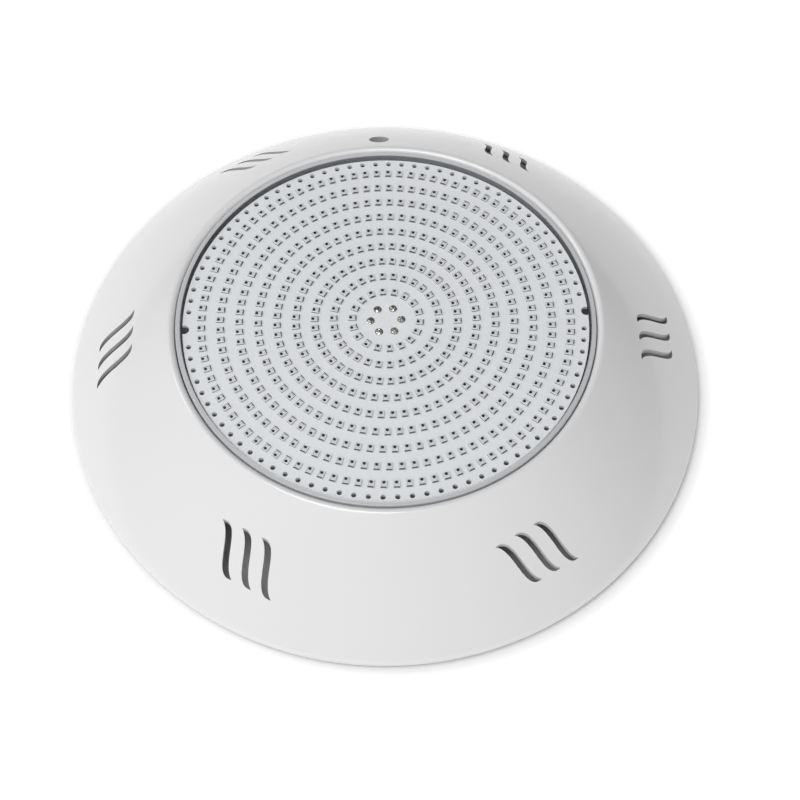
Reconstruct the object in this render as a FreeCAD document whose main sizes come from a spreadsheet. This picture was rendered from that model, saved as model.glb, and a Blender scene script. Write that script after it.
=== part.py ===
"""Surface-mounted underwater pool light: a round lamp that hangs on a wall bracket.

Millimetres. The wall is the plane z = 0, +Z points out of the wall towards the swimmer, and +Y is
up the wall, to 12 o'clock. The origin is where the lamp's axis meets the wall. The lamp hooks on
the bracket at 6 o'clock, swings in, and is held by one captive screw at 12 o'clock.
"""
import FreeCAD, Part
import Sketcher
import math
import os

Vector = FreeCAD.Vector
UP = Vector(0, 0, 1)

SIZES = {
    # face ring: the white domed skirt
    "rim_radius": 145.0, "rim_bottom": 2.5, "rim_shoulder": 5.5, "rim_inner_radius": 141.5,
    "rim_inner_top": 6.6, "lip_bore_radius": 93.5, "lip_corner": 51.7, "dome_radius": 225.0,
    "dome_inner_radius": 223.0, "lip_round": 2.0, "rim_round": 4.0, "rim_edge_round": 0.9,
    "collar_seat": 39.7, "collar_bore_radius": 100.8, "collar_radius": 104.5,
    "collar_bottom": 33.0, "collar_top": 41.6,
    # vent slots: six groups of three curved slots
    "vent_groups": 6, "vent_pitch": 9.5, "vent_inner_radius": 113.6, "vent_outer_radius": 130.8,
    "vent_inner_shift": 7.4, "vent_outer_shift": 5.8, "vent_steep_in": 1.85,
    "vent_steep_rise": 9.3, "vent_slant_in": 3.8, "vent_slant_rise": 6.9,
    # bosses under the ring for the casing screws
    "boss_circle": 107.0, "boss_count": 6, "boss_radius": 3.6, "boss_top": 38.4,
    "pilot_radius": 2.0, "pilot_depth": 5.0,
    # lock-screw well at 12 o'clock
    "lock_offset": 107.0, "well_radius": 4.75, "well_tube_radius": 6.25, "well_bottom": 22.0,
    "well_floor": 25.0, "well_tube_top": 36.5, "well_hole_radius": 2.9, "well_cut_top": 60.0,
    # hinge at 6 o'clock
    "pin_offset": 127.0, "pin_height": 9.0, "pin_radius": 2.0, "pin_half_length": 21.5,
    "lug_inner": 17.0, "lug_width": 4.0, "lug_start": 122.5, "lug_end": 140.0,
    "lug_bottom": 4.0, "lug_top": 27.2, "lug_toe": 9.2, "pin_fit": 0.02, "hook_fit": 0.08,
    # clear front cover
    "lens_top": 49.7, "lens_thick": 1.5, "lens_radius": 93.0, "lens_wall": 2.2,
    "lens_edge_round": 0.5, "lens_flange_radius": 100.4, "lens_flange_thick": 3.0,
    # seal between the cover's flange and the rear casing
    "seal_inner_radius": 94.0, "seal_outer_radius": 100.0, "seal_thick": 1.5,
    # rear casing with its driver bay
    "casing_radius": 111.0, "casing_bottom": 30.0, "casing_inner_radius": 90.4,
    "casing_well_gap": 0.75, "bay_radius": 48.0, "bay_inner_radius": 45.0, "bay_step_radius": 41.0,
    "bay_bottom": 14.0, "bay_floor": 17.0, "bay_ledge": 26.0, "gland_hole_radius": 7.7,
    "casing_hole_radius": 2.2,
    # casing screws
    "screw_radius": 1.95, "screw_length": 7.4, "screw_head_radius": 3.7, "screw_head_height": 2.4,
    "screw_head_round": 1.2, "screw_slot_half": 0.5, "screw_slot_depth": 0.95,
    # LED board
    "board_radius": 90.0, "board_top": 47.2, "board_thick": 1.6,
    "edge_hole_circle": 87.7, "edge_hole_radius": 1.15, "edge_hole_pitch": 4.0,
    "edge_hole_count": 43, "edge_hole_start": 6.0, "notch_radius": 2.25, "notch_depth": 3.0,
    "pin_hole_radius": 0.65, "board_turn": 1.4,
    # LED packages in nine rings
    "led_ring_radius": 15.0, "led_ring_step": 8.35, "led_along": 3.5, "led_across": 2.8,
    "led_height": 0.8,
    # link pins and their solder joints
    "link_circle": 6.8, "link_count": 6, "link_radius": 0.6, "solder_radius": 1.9,
    "solder_height": 0.9,
    # driver board and what stands on it
    "driver_radius": 44.0, "driver_thick": 1.6, "capacitor_radius": 5.0, "capacitor_height": 14.0,
    "choke_radius": 8.5, "choke_section": 3.6, "bridge_long": 12.0, "bridge_wide": 8.0,
    "bridge_height": 4.0, "chip_long": 5.0, "chip_wide": 4.0, "chip_height": 1.6,
    "terminal_half": 7.5, "terminal_low": -34.0, "terminal_high": -26.0, "terminal_height": 10.0,
    "terminal_screw_x": 3.5, "terminal_screw_y": -30.0, "terminal_hole_radius": 1.6,
    "terminal_hole_depth": 4.0, "capacitor_x": 23.0, "capacitor_y": 12.0, "capacitor_round": 0.6,
    "choke_x": -24.0, "choke_y": 10.0, "bridge_x": -30.0, "bridge_y": -20.0,
    # cable gland
    "gland_flange_bottom": 10.0, "gland_flange_flats": 19.0, "gland_washer_thick": 1.0,
    "gland_stem_radius": 7.6, "gland_stem_top": 23.0, "gland_stub_radius": 7.2,
    "gland_stub_bottom": 5.0, "gland_bore_radius": 4.5, "gland_socket_radius": 6.0,
    "gland_seal_bore": 3.5, "gland_seal_gap": 0.5, "gland_nut_bottom": 3.8,
    "gland_nut_thread": 7.3, "gland_nut_mouth": 4.4, "gland_nut_lip": 1.2,
    "gland_washer_radius": 9.4, "gland_locknut_top": 20.0, "gland_locknut_flats": 20.0,
    # lock screw and its captive sealing washer
    "lock_washer_thick": 1.0, "lock_washer_radius": 4.3, "lock_washer_bore": 2.55,
    "lock_radius": 2.5, "lock_tip": 14.0, "lock_head_radius": 4.2, "lock_head_height": 3.5,
    "lock_slot_half": 0.6, "lock_slot_depth": 1.4,
    # wall bracket
    "plate_thick": 3.0, "hub_radius": 60.0, "hub_bore_radius": 32.0, "arm_half_width": 13.0,
    "side_arm_length": 100.0, "top_arm_length": 115.0, "hook_end": 131.5, "hook_start": 120.0,
    "hook_top": 13.5, "rib_thick": 2.0, "rib_top": 8.0,
    "rib_start": 34.0, "rib_end": 96.0, "post_radius": 8.0, "post_top": 21.5,
    "insert_radius": 4.0, "insert_bore": 2.85, "insert_bottom": 11.0, "insert_top": 21.0,
    "wall_hole_circle": 80.0, "wall_hole_radius": 2.75, "wall_hole_count": 4,
}

# lower left corners of the driver chips on their board, in mm
CHIP_CORNERS = ((-3, 16), (-3, 24), (8, 30))
# LEDs in each ring, from the centre out, and where the first of each stands, in degrees
LED_COUNTS = (18, 30, 42, 51, 60, 69, 78, 87, 96)
LED_FIRST_ANGLES = (14.0, 8.2, 6.0, -0.3, 1.6, 2.7, 3.8, 0.3, 1.3)

doc = FreeCAD.newDocument("pool_light")
sheet = doc.addObject("Spreadsheet::Sheet", "Sizes")
for row, (alias, number) in enumerate(SIZES.items(), start=1):
    sheet.set(f"A{row}", alias)
    sheet.set(f"B{row}", str(number))
    sheet.setAlias(f"B{row}", alias)
doc.recompute()

parts = []


def value(total):
    """The number that a sum of sheet names and plain numbers comes to."""
    result = 0.0
    sign = 1
    for word in str(total).split():
        if word in ("+", "-"):
            sign = 1 if word == "+" else -1
            continue
        result += sign * (float(getattr(sheet, word)) if word[0].isalpha() else float(word))
        sign = 1
    return result


def bound(total):
    """The same sum as an expression on the sheet."""
    words = str(total).split()
    return " ".join("Sizes." + word if word[0].isalpha() else word for word in words)


def origin_plane(body, role):
    return next(item for item in body.Origin.OriginFeatures if item.Role == role)


def new_body(label):
    body = doc.addObject("PartDesign::Body", label)
    body.Label = label
    parts.append(body)
    return body


def new_sketch(body, role, name, height="0", turn=0.0):
    """A sketch on one of the body's own origin planes, raised by height and turned in its plane."""
    sketch = body.newObject("Sketcher::SketchObject", f"{body.Name}_{name}")
    sketch.AttachmentSupport = (origin_plane(body, role), [""])
    sketch.MapMode = "FlatFace"
    sketch.AttachmentOffset = FreeCAD.Placement(Vector(0, 0, 0), FreeCAD.Rotation(UP, turn))
    sketch.setExpression("AttachmentOffset.Base.z", bound(height))
    return sketch


def place_point(sketch, edge, end, x_total, y_total):
    """Ties a point of a sketch to its distances from the sketch's origin."""
    for kind, axis, total in (("DistanceX", -2, x_total), ("DistanceY", -1, y_total)):
        if value(total) == 0:
            sketch.addConstraint(Sketcher.Constraint("PointOnObject", edge, end, axis))
            continue
        row = sketch.addConstraint(Sketcher.Constraint(kind, -1, 1, edge, end, value(total)))
        sketch.setExpression(f"Constraints[{row}]", bound(total))


def arc_between(start, finish, radius, bulge):
    """The arc between two points that bulges to the left (1) or the right (-1) of the way."""
    middle = (start + finish) * 0.5
    along = finish - start
    left = Vector(-along.y, along.x, 0).normalize()
    centre = middle - left * math.sqrt(radius ** 2 - (along.Length / 2) ** 2) * bulge
    first, last = (finish, start) if bulge > 0 else (start, finish)
    angles = [math.atan2(point.y - centre.y, point.x - centre.x) for point in (first, last)]
    return Part.ArcOfCircle(Part.Circle(centre, UP, radius), angles[0], angles[1])


def outline(sketch, corners):
    """A closed outline. A corner is x and y, and for an arc to the next one, radius and bulge."""
    points = [Vector(value(corner[0]), value(corner[1]), 0) for corner in corners]
    base = sketch.GeometryCount
    following = points[1:] + points[:1]
    for corner, start, finish in zip(corners, points, following):
        if len(corner) == 2:
            sketch.addGeometry(Part.LineSegment(start, finish), False)
            continue
        sketch.addGeometry(arc_between(start, finish, value(corner[2]), corner[3]), False)
    backwards = [len(corner) > 2 and corner[3] > 0 for corner in corners]
    for index, corner in enumerate(corners):
        after = (index + 1) % len(corners)
        leaving = 1 if backwards[index] else 2
        arriving = 2 if backwards[after] else 1
        edge = base + index
        joined = Sketcher.Constraint("Coincident", edge, leaving, base + after, arriving)
        sketch.addConstraint(joined)
        place_point(sketch, edge, 3 - leaving, corner[0], corner[1])
        if len(corner) > 2:
            radius = Sketcher.Constraint("Radius", edge, value(corner[2]))
            row = sketch.addConstraint(radius)
            sketch.setExpression(f"Constraints[{row}]", bound(corner[2]))


def circle(sketch, x_total, y_total, radius_total):
    centre = Vector(value(x_total), value(y_total), 0)
    edge = sketch.addGeometry(Part.Circle(centre, UP, value(radius_total)), False)
    place_point(sketch, edge, 3, x_total, y_total)
    row = sketch.addConstraint(Sketcher.Constraint("Radius", edge, value(radius_total)))
    sketch.setExpression(f"Constraints[{row}]", bound(radius_total))


def rectangle(sketch, left, right, low, high):
    outline(sketch, [(left, low), (right, low), (right, high), (left, high)])


def hexagon(sketch, flats_total):
    """A regular hexagon about the sketch's origin, two sides along X."""
    reach = value(flats_total) / math.sqrt(3)
    corners = [Vector(reach * math.cos(math.radians(60 * k)),
                      reach * math.sin(math.radians(60 * k)), 0) for k in range(6)]
    for start, finish in zip(corners, corners[1:] + corners[:1]):
        sketch.addGeometry(Part.LineSegment(start, finish), False)
    ring = sketch.addGeometry(Part.Circle(Vector(0, 0, 0), UP, reach), True)
    sketch.addConstraint(Sketcher.Constraint("Coincident", ring, 3, -1, 1))
    for side in range(6):
        sketch.addConstraint(Sketcher.Constraint("Coincident", side, 2, (side + 1) % 6, 1))
        sketch.addConstraint(Sketcher.Constraint("PointOnObject", side, 1, ring))
        if side:
            sketch.addConstraint(Sketcher.Constraint("Equal", 0, side))
    sketch.addConstraint(Sketcher.Constraint("PointOnObject", 0, 1, -1))
    row = sketch.addConstraint(Sketcher.Constraint("Radius", ring, reach))
    sketch.setExpression(f"Constraints[{row}]", f"({bound(flats_total)}) / sqrt(3)")


def revolve(body, name, corners):
    """A solid turned about the Z axis from a closed outline of radius and height."""
    sketch = new_sketch(body, "XZ_Plane", name + "_profile")
    outline(sketch, corners)
    turned = body.newObject("PartDesign::Revolution", f"{body.Name}_{name}")
    turned.Profile = sketch
    turned.ReferenceAxis = (sketch, ["V_Axis"])
    turned.Angle = 360
    sketch.Visibility = False
    return turned


def pad(body, sketch, name, length, both_ways=False):
    raised = body.newObject("PartDesign::Pad", f"{body.Name}_{name}")
    raised.Profile = sketch
    raised.setExpression("Length", bound(length))
    raised.Midplane = both_ways
    return raised


def pocket(body, sketch, name, length, both_ways=False):
    """Cuts the sketch down from its own height, and insists that something is removed."""
    doc.recompute()
    before = body.Shape.Volume
    cut = body.newObject("PartDesign::Pocket", f"{body.Name}_{name}")
    cut.Profile = sketch
    cut.setExpression("Length", bound(length))
    cut.Midplane = both_ways
    doc.recompute()
    if body.Shape.Volume >= before:
        raise RuntimeError(f"{body.Name} {name} cuts nothing")
    return cut


def pattern(body, feature, name, count, angle=360):
    """Repeats a feature about the Z axis."""
    doc.recompute()
    before = body.Shape.Volume
    turns = body.newObject("PartDesign::PolarPattern", f"{body.Name}_{name}")
    turns.Originals = [feature]
    turns.Axis = (origin_plane(body, "Z_Axis"), [""])
    turns.Angle = angle
    turns.setExpression("Occurrences", bound(count))
    body.Tip = turns
    doc.recompute()
    if abs(body.Shape.Volume - before) < 1e-3:
        raise RuntimeError(f"{body.Name} {name} changes nothing")
    return turns


def edge_at(shape, radius, height):
    """The name of the round edge of this radius and height about the Z axis."""
    for number, edge in enumerate(shape.Edges, start=1):
        curve = edge.Curve
        if curve.TypeId != "Part::GeomCircle" or abs(curve.Radius - radius) > 0.01:
            continue
        if abs(curve.Center.z - height) < 0.01 and math.hypot(curve.Center.x, curve.Center.y) < 0.01:
            return f"Edge{number}"
    raise RuntimeError(f"no round edge of radius {radius} at height {height}")


def fillet(body, name, radius_total, rings):
    """Rounds the edges at the given radii and heights."""
    doc.recompute()
    base = body.Tip
    names = [edge_at(base.Shape, value(ring), value(height)) for ring, height in rings]
    rounded = body.newObject("PartDesign::Fillet", f"{body.Name}_{name}")
    rounded.Base = (base, names)
    rounded.setExpression("Radius", bound(radius_total))
    doc.recompute()
    return rounded


def group(label, shapes):
    """One sub-part made of separate identical or related solids."""
    feature = doc.addObject("Part::Feature", label)
    feature.Label = label
    feature.Shape = Part.makeCompound(shapes)
    feature.Placement = FreeCAD.Placement()
    parts.append(feature)
    return feature


def around(shape, count, start=0.0):
    """Copies of a shape, evenly turned about the Z axis."""
    copies = []
    for index in range(count):
        copy = shape.copy()
        copy.rotate(Vector(0, 0, 0), UP, start + 360.0 / count * index)
        copies.append(copy)
    return copies


def cylinder(label, radius, low, height, x_total="0", y_total="0"):
    """An upright Part::Cylinder bound to the sheet."""
    solid = doc.addObject("Part::Cylinder", label)
    solid.setExpression("Radius", bound(radius))
    solid.setExpression("Height", bound(height))
    solid.setExpression("Placement.Base.x", bound(x_total))
    solid.setExpression("Placement.Base.y", bound(y_total))
    solid.setExpression("Placement.Base.z", bound(low))
    parts.append(solid)
    return solid


def box(label, sizes, corner):
    """A Part::Box with its three sizes and its lowest corner bound to the sheet."""
    solid = doc.addObject("Part::Box", label)
    for side, total in zip(("Length", "Width", "Height"), sizes):
        solid.setExpression(side, bound(total))
    for axis, total in zip("xyz", corner):
        solid.setExpression(f"Placement.Base.{axis}", bound(total))
    parts.append(solid)
    return solid


def vent_edge(first_handle, last_handle, shift):
    """One long edge of a curved slot: a cubic from its inner tip to its outer tip."""
    inner = Vector(value("vent_inner_radius"), shift - value("vent_inner_shift"), 0)
    outer = Vector(value("vent_outer_radius"), shift + value("vent_outer_shift"), 0)
    curve = Part.BezierCurve()
    curve.setPoles([inner, inner + first_handle, outer - last_handle, outer])
    return curve.toBSpline()


def cut_vents(ring):
    """Three S-shaped slots side by side, repeated around the skirt."""
    sketch = new_sketch(ring, "XY_Plane", "vent_outline", "well_cut_top")
    steep = Vector(-value("vent_steep_in"), value("vent_steep_rise"), 0)
    slanted = Vector(value("vent_slant_in"), value("vent_slant_rise"), 0)
    for place in (-1, 0, 1):
        shift = place * value("vent_pitch")
        first = sketch.addGeometry(vent_edge(steep, slanted, shift), False)
        second = sketch.addGeometry(vent_edge(slanted, steep, shift), False)
        sketch.addConstraint(Sketcher.Constraint("Coincident", first, 1, second, 1))
        sketch.addConstraint(Sketcher.Constraint("Coincident", first, 2, second, 2))
        for edge in (first, second):
            sketch.addConstraint(Sketcher.Constraint("Block", edge))
    slots = pocket(ring, sketch, "vents", "well_cut_top")
    pattern(ring, slots, "vent_groups", "vent_groups")


def add_lug(ring, name, left):
    """One of the two ribs inside the skirt that hold the hinge pin."""
    sketch = new_sketch(ring, "YZ_Plane", name + "_outline", left)
    outline(sketch, [("0 - lug_end", "lug_bottom"), ("0 - lug_start", "lug_bottom"),
                     ("0 - lug_start", "lug_top"), ("0 - lug_end", "lug_toe")])
    pad(ring, sketch, name, "lug_width")


def add_lugs(ring):
    add_lug(ring, "right_lug", "lug_inner")
    add_lug(ring, "left_lug", "0 - lug_inner - lug_width")
    eye = new_sketch(ring, "YZ_Plane", "pin_eye")
    circle(eye, "0 - pin_offset", "pin_height", "pin_radius + pin_fit")
    pocket(ring, eye, "pin_eyes", "pin_half_length + pin_half_length + lug_width", both_ways=True)


def add_bosses(ring):
    """Six short bosses that take the casing screws."""
    outer = new_sketch(ring, "XY_Plane", "boss_circle", "collar_bottom")
    circle(outer, "boss_circle", "0", "boss_radius")
    boss = pad(ring, outer, "boss", "boss_top - collar_bottom")
    pattern(ring, boss, "bosses", "boss_count")
    hole = new_sketch(ring, "XY_Plane", "pilot_circle", "collar_bottom + pilot_depth")
    circle(hole, "boss_circle", "0", "pilot_radius")
    pilot = pocket(ring, hole, "pilot", "pilot_depth")
    pattern(ring, pilot, "pilots", "boss_count")


def add_well(ring):
    """The deep well at 12 o'clock, with a floor that the lock screw pulls on."""
    tube = new_sketch(ring, "XY_Plane", "well_tube_circle", "well_bottom")
    circle(tube, "0", "lock_offset", "well_tube_radius")
    pad(ring, tube, "well_tube", "well_tube_top - well_bottom")
    bore = new_sketch(ring, "XY_Plane", "well_circle", "well_cut_top")
    circle(bore, "0", "lock_offset", "well_radius")
    pocket(ring, bore, "well", "well_cut_top - well_floor")
    hole = new_sketch(ring, "XY_Plane", "well_hole_circle", "well_floor")
    circle(hole, "0", "lock_offset", "well_hole_radius")
    pocket(ring, hole, "well_hole", "well_floor - well_bottom")


def face_ring():
    """White domed skirt: collar for the cover, vents, bosses, lock-screw well, hinge lugs."""
    ring = new_body("face_ring")
    revolve(ring, "shell", [
        ("lip_bore_radius", "collar_seat"), ("collar_bore_radius", "collar_seat"),
        ("collar_bore_radius", "collar_bottom"), ("collar_radius", "collar_bottom"),
        ("collar_radius", "collar_top", "dome_inner_radius", 1),
        ("rim_inner_radius", "rim_inner_top"), ("rim_inner_radius", "rim_bottom"),
        ("rim_radius", "rim_bottom"), ("rim_radius", "rim_shoulder", "dome_radius", -1),
        ("lip_bore_radius", "lip_corner")])
    fillet(ring, "lip_rounding", "lip_round", [("lip_bore_radius", "lip_corner")])
    fillet(ring, "rim_rounding", "rim_round", [("rim_radius", "rim_shoulder")])
    fillet(ring, "rim_edge_rounding", "rim_edge_round", [("rim_radius", "rim_bottom")])
    cut_vents(ring)
    add_bosses(ring)
    add_well(ring)
    add_lugs(ring)


def lens():
    """Clear cover: a shallow dish turned over the LED board, clamped by its flange."""
    cover = new_body("lens")
    under = "lens_top - lens_thick"
    flange_bottom = "collar_seat - lens_flange_thick"
    revolve(cover, "dish", [
        ("0", under), ("lens_radius - lens_wall", under),
        ("lens_radius - lens_wall", flange_bottom), ("lens_flange_radius", flange_bottom),
        ("lens_flange_radius", "collar_seat"), ("lens_radius", "collar_seat"),
        ("lens_radius", "lens_top"), ("0", "lens_top")])
    fillet(cover, "edge_rounding", "lens_edge_round", [("lens_radius", "lens_top")])


def lens_gasket():
    seal = new_body("lens_gasket")
    top = "collar_seat - lens_flange_thick"
    revolve(seal, "ring", [
        ("seal_inner_radius", top + " - seal_thick"), ("seal_outer_radius", top + " - seal_thick"),
        ("seal_outer_radius", top), ("seal_inner_radius", top)])


def rear_casing():
    """Casing behind the board: flange, sealing step, resin tray and the deeper driver bay."""
    casing = new_body("rear_casing")
    step_top = "collar_seat - lens_flange_thick - seal_thick"
    tray_floor = "collar_bottom"
    board_seat = "board_top - board_thick"
    revolve(casing, "shell", [
        ("gland_hole_radius", "bay_bottom"), ("bay_radius", "bay_bottom"),
        ("bay_radius", "casing_bottom"), ("casing_radius", "casing_bottom"),
        ("casing_radius", tray_floor), ("lens_flange_radius", tray_floor),
        ("lens_flange_radius", step_top), ("casing_inner_radius", step_top),
        ("casing_inner_radius", tray_floor), ("bay_radius", tray_floor),
        ("bay_radius", board_seat), ("bay_inner_radius", board_seat),
        ("bay_inner_radius", "bay_ledge"), ("bay_step_radius", "bay_ledge"),
        ("bay_step_radius", "bay_floor"), ("gland_hole_radius", "bay_floor")])
    hole = new_sketch(casing, "XY_Plane", "screw_hole_circle", tray_floor)
    circle(hole, "boss_circle", "0", "casing_hole_radius")
    screw_hole = pocket(casing, hole, "screw_hole", "collar_bottom - casing_bottom")
    pattern(casing, screw_hole, "screw_holes", "boss_count")
    notch = new_sketch(casing, "XY_Plane", "well_notch_circle", tray_floor)
    circle(notch, "0", "lock_offset", "well_tube_radius + casing_well_gap")
    pocket(casing, notch, "well_notch", "collar_bottom - casing_bottom")


def casing_screws():
    """Six pan-head screws from behind, through the casing's flange into the ring's bosses."""
    seat = value("casing_bottom")
    head_height = value("screw_head_height")
    head = Part.makeCylinder(value("screw_head_radius"), head_height)
    rim = [edge for edge in head.Edges if edge.BoundBox.ZMax < 1e-6]
    head = head.makeFillet(value("screw_head_round"), rim)
    shank = Part.makeCylinder(value("screw_radius"), value("screw_length") + head_height)
    reach = value("screw_radius")
    slot_half = value("screw_slot_half")
    level = Part.makeBox(2 * reach, 2 * slot_half, value("screw_slot_depth"),
                         Vector(-reach, -slot_half, 0))
    upright = level.copy()
    upright.rotate(Vector(0, 0, 0), UP, 90)
    screw = head.fuse(shank).removeSplitter().cut(level).cut(upright)
    screw.translate(Vector(value("boss_circle"), 0, seat - head_height))
    group("casing_screws", around(screw, int(value("boss_count"))))


def potting_resin():
    """Resin cast round the driver bay, which carries the board and takes its heat."""
    resin = new_body("potting_resin")
    top = "board_top - board_thick"
    revolve(resin, "ring", [
        ("bay_radius", "collar_bottom"), ("casing_inner_radius", "collar_bottom"),
        ("casing_inner_radius", top), ("bay_radius", top)])


def led_board():
    """White round board: edge holes, two locating notches and six holes for the link pins."""
    board = new_body("led_board")
    under = "board_top - board_thick"
    revolve(board, "disc", [("0", under), ("board_radius", under),
                            ("board_radius", "board_top"), ("0", "board_top")])
    start = value("edge_hole_start")
    holes = new_sketch(board, "XY_Plane", "edge_hole_circles", "board_top", turn=start)
    circle(holes, "edge_hole_circle", "0", "edge_hole_radius")
    circle(holes, "0 - edge_hole_circle", "0", "edge_hole_radius")
    edge_hole = pocket(board, holes, "edge_hole", "board_thick")
    sweep = value("edge_hole_pitch") * (value("edge_hole_count") - 1)
    pattern(board, edge_hole, "edge_holes", "edge_hole_count", sweep)
    notches = new_sketch(board, "XY_Plane", "notch_circles", "board_top")
    centre = "board_radius - notch_depth + notch_radius"
    circle(notches, centre, "0", "notch_radius")
    circle(notches, "0 - board_radius + notch_depth - notch_radius", "0", "notch_radius")
    pocket(board, notches, "notches", "board_thick")
    pins = new_sketch(board, "XY_Plane", "pin_hole_circle", "board_top")
    circle(pins, "link_circle", "0", "pin_hole_radius")
    pin_hole = pocket(board, pins, "pin_hole", "board_thick")
    pattern(board, pin_hole, "pin_holes", "link_count")
    board.Placement = FreeCAD.Placement(Vector(0, 0, 0), UP, value("board_turn"))


def led_rings():
    """Nine rings of LED packages, each with its long side pointing at the centre."""
    along = value("led_along")
    across = value("led_across")
    for index, (count, first) in enumerate(zip(LED_COUNTS, LED_FIRST_ANGLES)):
        radius = value("led_ring_radius") + index * value("led_ring_step")
        corner = Vector(radius - along / 2, -across / 2, value("board_top"))
        package = Part.makeBox(along, across, value("led_height"), corner)
        group(f"led_ring_{index + 1}", around(package, count, first))


def link_pins():
    """Six pins that carry the supply from the driver board up through the LED board."""
    low = value("bay_ledge + driver_thick")
    base = Vector(value("link_circle"), 0, low)
    pin = Part.makeCylinder(value("link_radius"), value("board_top") - low, base)
    group("link_pins", around(pin, int(value("link_count")), value("board_turn")))


def solder_joints():
    """A low tin dome over the end of each link pin."""
    reach = value("solder_radius")
    rise = value("solder_height")
    ball = (reach ** 2 + rise ** 2) / (2 * rise)
    waist = math.degrees(math.asin((ball - rise) / ball))
    dome = Part.makeSphere(ball, Vector(0, 0, 0), UP, waist, 90, 360)
    dome.translate(Vector(value("link_circle"), 0, value("board_top") - (ball - rise)))
    group("solder_joints", around(dome, int(value("link_count")), value("board_turn")))


def driver_parts():
    """The constant-current driver: its board and the components standing on it."""
    cylinder("driver_board", "driver_radius", "bay_ledge", "driver_thick")
    top = "bay_ledge + driver_thick"
    height = value(top)
    can = Part.makeCylinder(value("capacitor_radius"), value("capacitor_height"))
    rims = [edge for edge in can.Edges if edge.Length > 1 and edge.BoundBox.ZLength < 1e-6]
    can = can.makeFillet(value("capacitor_round"), rims)
    cans = []
    for side in (-1, 1):
        placed = can.copy()
        placed.translate(Vector(value("capacitor_x"), side * value("capacitor_y"), height))
        cans.append(placed)
    group("storage_capacitors", cans)
    choke = doc.addObject("Part::Torus", "choke")
    choke.setExpression("Radius1", bound("choke_radius"))
    choke.setExpression("Radius2", bound("choke_section"))
    choke_place = Vector(value("choke_x"), value("choke_y"), height + value("choke_section"))
    choke.Placement = FreeCAD.Placement(choke_place, FreeCAD.Rotation())
    parts.append(choke)
    box("bridge_rectifier", ("bridge_long", "bridge_wide", "bridge_height"), ("bridge_x", "bridge_y", top))
    chips = [Part.makeBox(value("chip_long"), value("chip_wide"), value("chip_height"),
                          Vector(x, y, height)) for x, y in CHIP_CORNERS]
    group("driver_chips", chips)


def terminal_block():
    """Two-way block for the supply cable's cores."""
    block = new_body("terminal_block")
    base = "bay_ledge + driver_thick"
    plan = new_sketch(block, "XY_Plane", "plan", base)
    outline(plan, [("0 - terminal_half", "terminal_low"), ("terminal_half", "terminal_low"),
                   ("terminal_half", "terminal_high"), ("0 - terminal_half", "terminal_high")])
    pad(block, plan, "body", "terminal_height")
    screws = new_sketch(block, "XY_Plane", "screw_circles", base + " + terminal_height")
    for x_total in ("0 - terminal_screw_x", "terminal_screw_x"):
        circle(screws, x_total, "terminal_screw_y", "terminal_hole_radius")
    pocket(block, screws, "screw_holes", "terminal_hole_depth")


def gland_body():
    """Hex-flanged gland: stem up through the bay floor, threaded stub and socket below."""
    body = new_body("gland_body")
    flange_top = "bay_bottom - gland_washer_thick"
    flange = new_sketch(body, "XY_Plane", "flange_hexagon", "gland_flange_bottom")
    hexagon(flange, "gland_flange_flats")
    pad(body, flange, "flange", flange_top + " - gland_flange_bottom")
    stem = new_sketch(body, "XY_Plane", "stem_circle", flange_top)
    circle(stem, "0", "0", "gland_stem_radius")
    pad(body, stem, "stem", "gland_stem_top - bay_bottom + gland_washer_thick")
    stub = new_sketch(body, "XY_Plane", "stub_circle", "gland_stub_bottom")
    circle(stub, "0", "0", "gland_stub_radius")
    pad(body, stub, "stub", "gland_flange_bottom - gland_stub_bottom")
    bore = new_sketch(body, "XY_Plane", "bore_circle", "gland_stem_top")
    circle(bore, "0", "0", "gland_bore_radius")
    pocket(body, bore, "bore", "gland_stem_top - gland_stub_bottom")
    socket = new_sketch(body, "XY_Plane", "socket_circle", "gland_flange_bottom")
    circle(socket, "0", "0", "gland_socket_radius")
    pocket(body, socket, "socket", "gland_flange_bottom - gland_stub_bottom")


def gland_rings():
    """Flat washer under the flange, and the rubber seal that grips the cable."""
    washer = new_body("gland_washer")
    low = "bay_bottom - gland_washer_thick"
    revolve(washer, "ring", [
        ("gland_hole_radius", low), ("gland_washer_radius", low),
        ("gland_washer_radius", "bay_bottom"), ("gland_hole_radius", "bay_bottom")])
    seal = new_body("gland_seal")
    bottom = "gland_stub_bottom + gland_seal_gap"
    outer = "gland_socket_radius - 0.1"
    revolve(seal, "ring", [
        ("gland_seal_bore", bottom), (outer, bottom), (outer, "gland_flange_bottom"),
        ("gland_seal_bore", "gland_flange_bottom")])


def gland_nuts():
    """Compression nut below, lock nut inside the bay."""
    nut = new_body("gland_nut")
    outside = new_sketch(nut, "XY_Plane", "hexagon", "gland_nut_bottom")
    hexagon(outside, "gland_flange_flats")
    top = "gland_flange_bottom - 0.4"
    pad(nut, outside, "body", top + " - gland_nut_bottom")
    thread = new_sketch(nut, "XY_Plane", "thread_circle", top)
    circle(thread, "0", "0", "gland_nut_thread")
    pocket(nut, thread, "thread", top + " - gland_nut_bottom - gland_nut_lip")
    mouth = new_sketch(nut, "XY_Plane", "mouth_circle", "gland_nut_bottom + gland_nut_lip")
    circle(mouth, "0", "0", "gland_nut_mouth")
    pocket(nut, mouth, "mouth", "gland_nut_lip")
    inner = new_body("gland_locknut")
    hexes = new_sketch(inner, "XY_Plane", "hexagon", "bay_floor")
    hexagon(hexes, "gland_locknut_flats")
    pad(inner, hexes, "body", "gland_locknut_top - bay_floor")
    hole = new_sketch(inner, "XY_Plane", "hole_circle", "gland_locknut_top")
    circle(hole, "0", "0", "gland_hole_radius")
    pocket(inner, hole, "hole", "gland_locknut_top - bay_floor")


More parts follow.
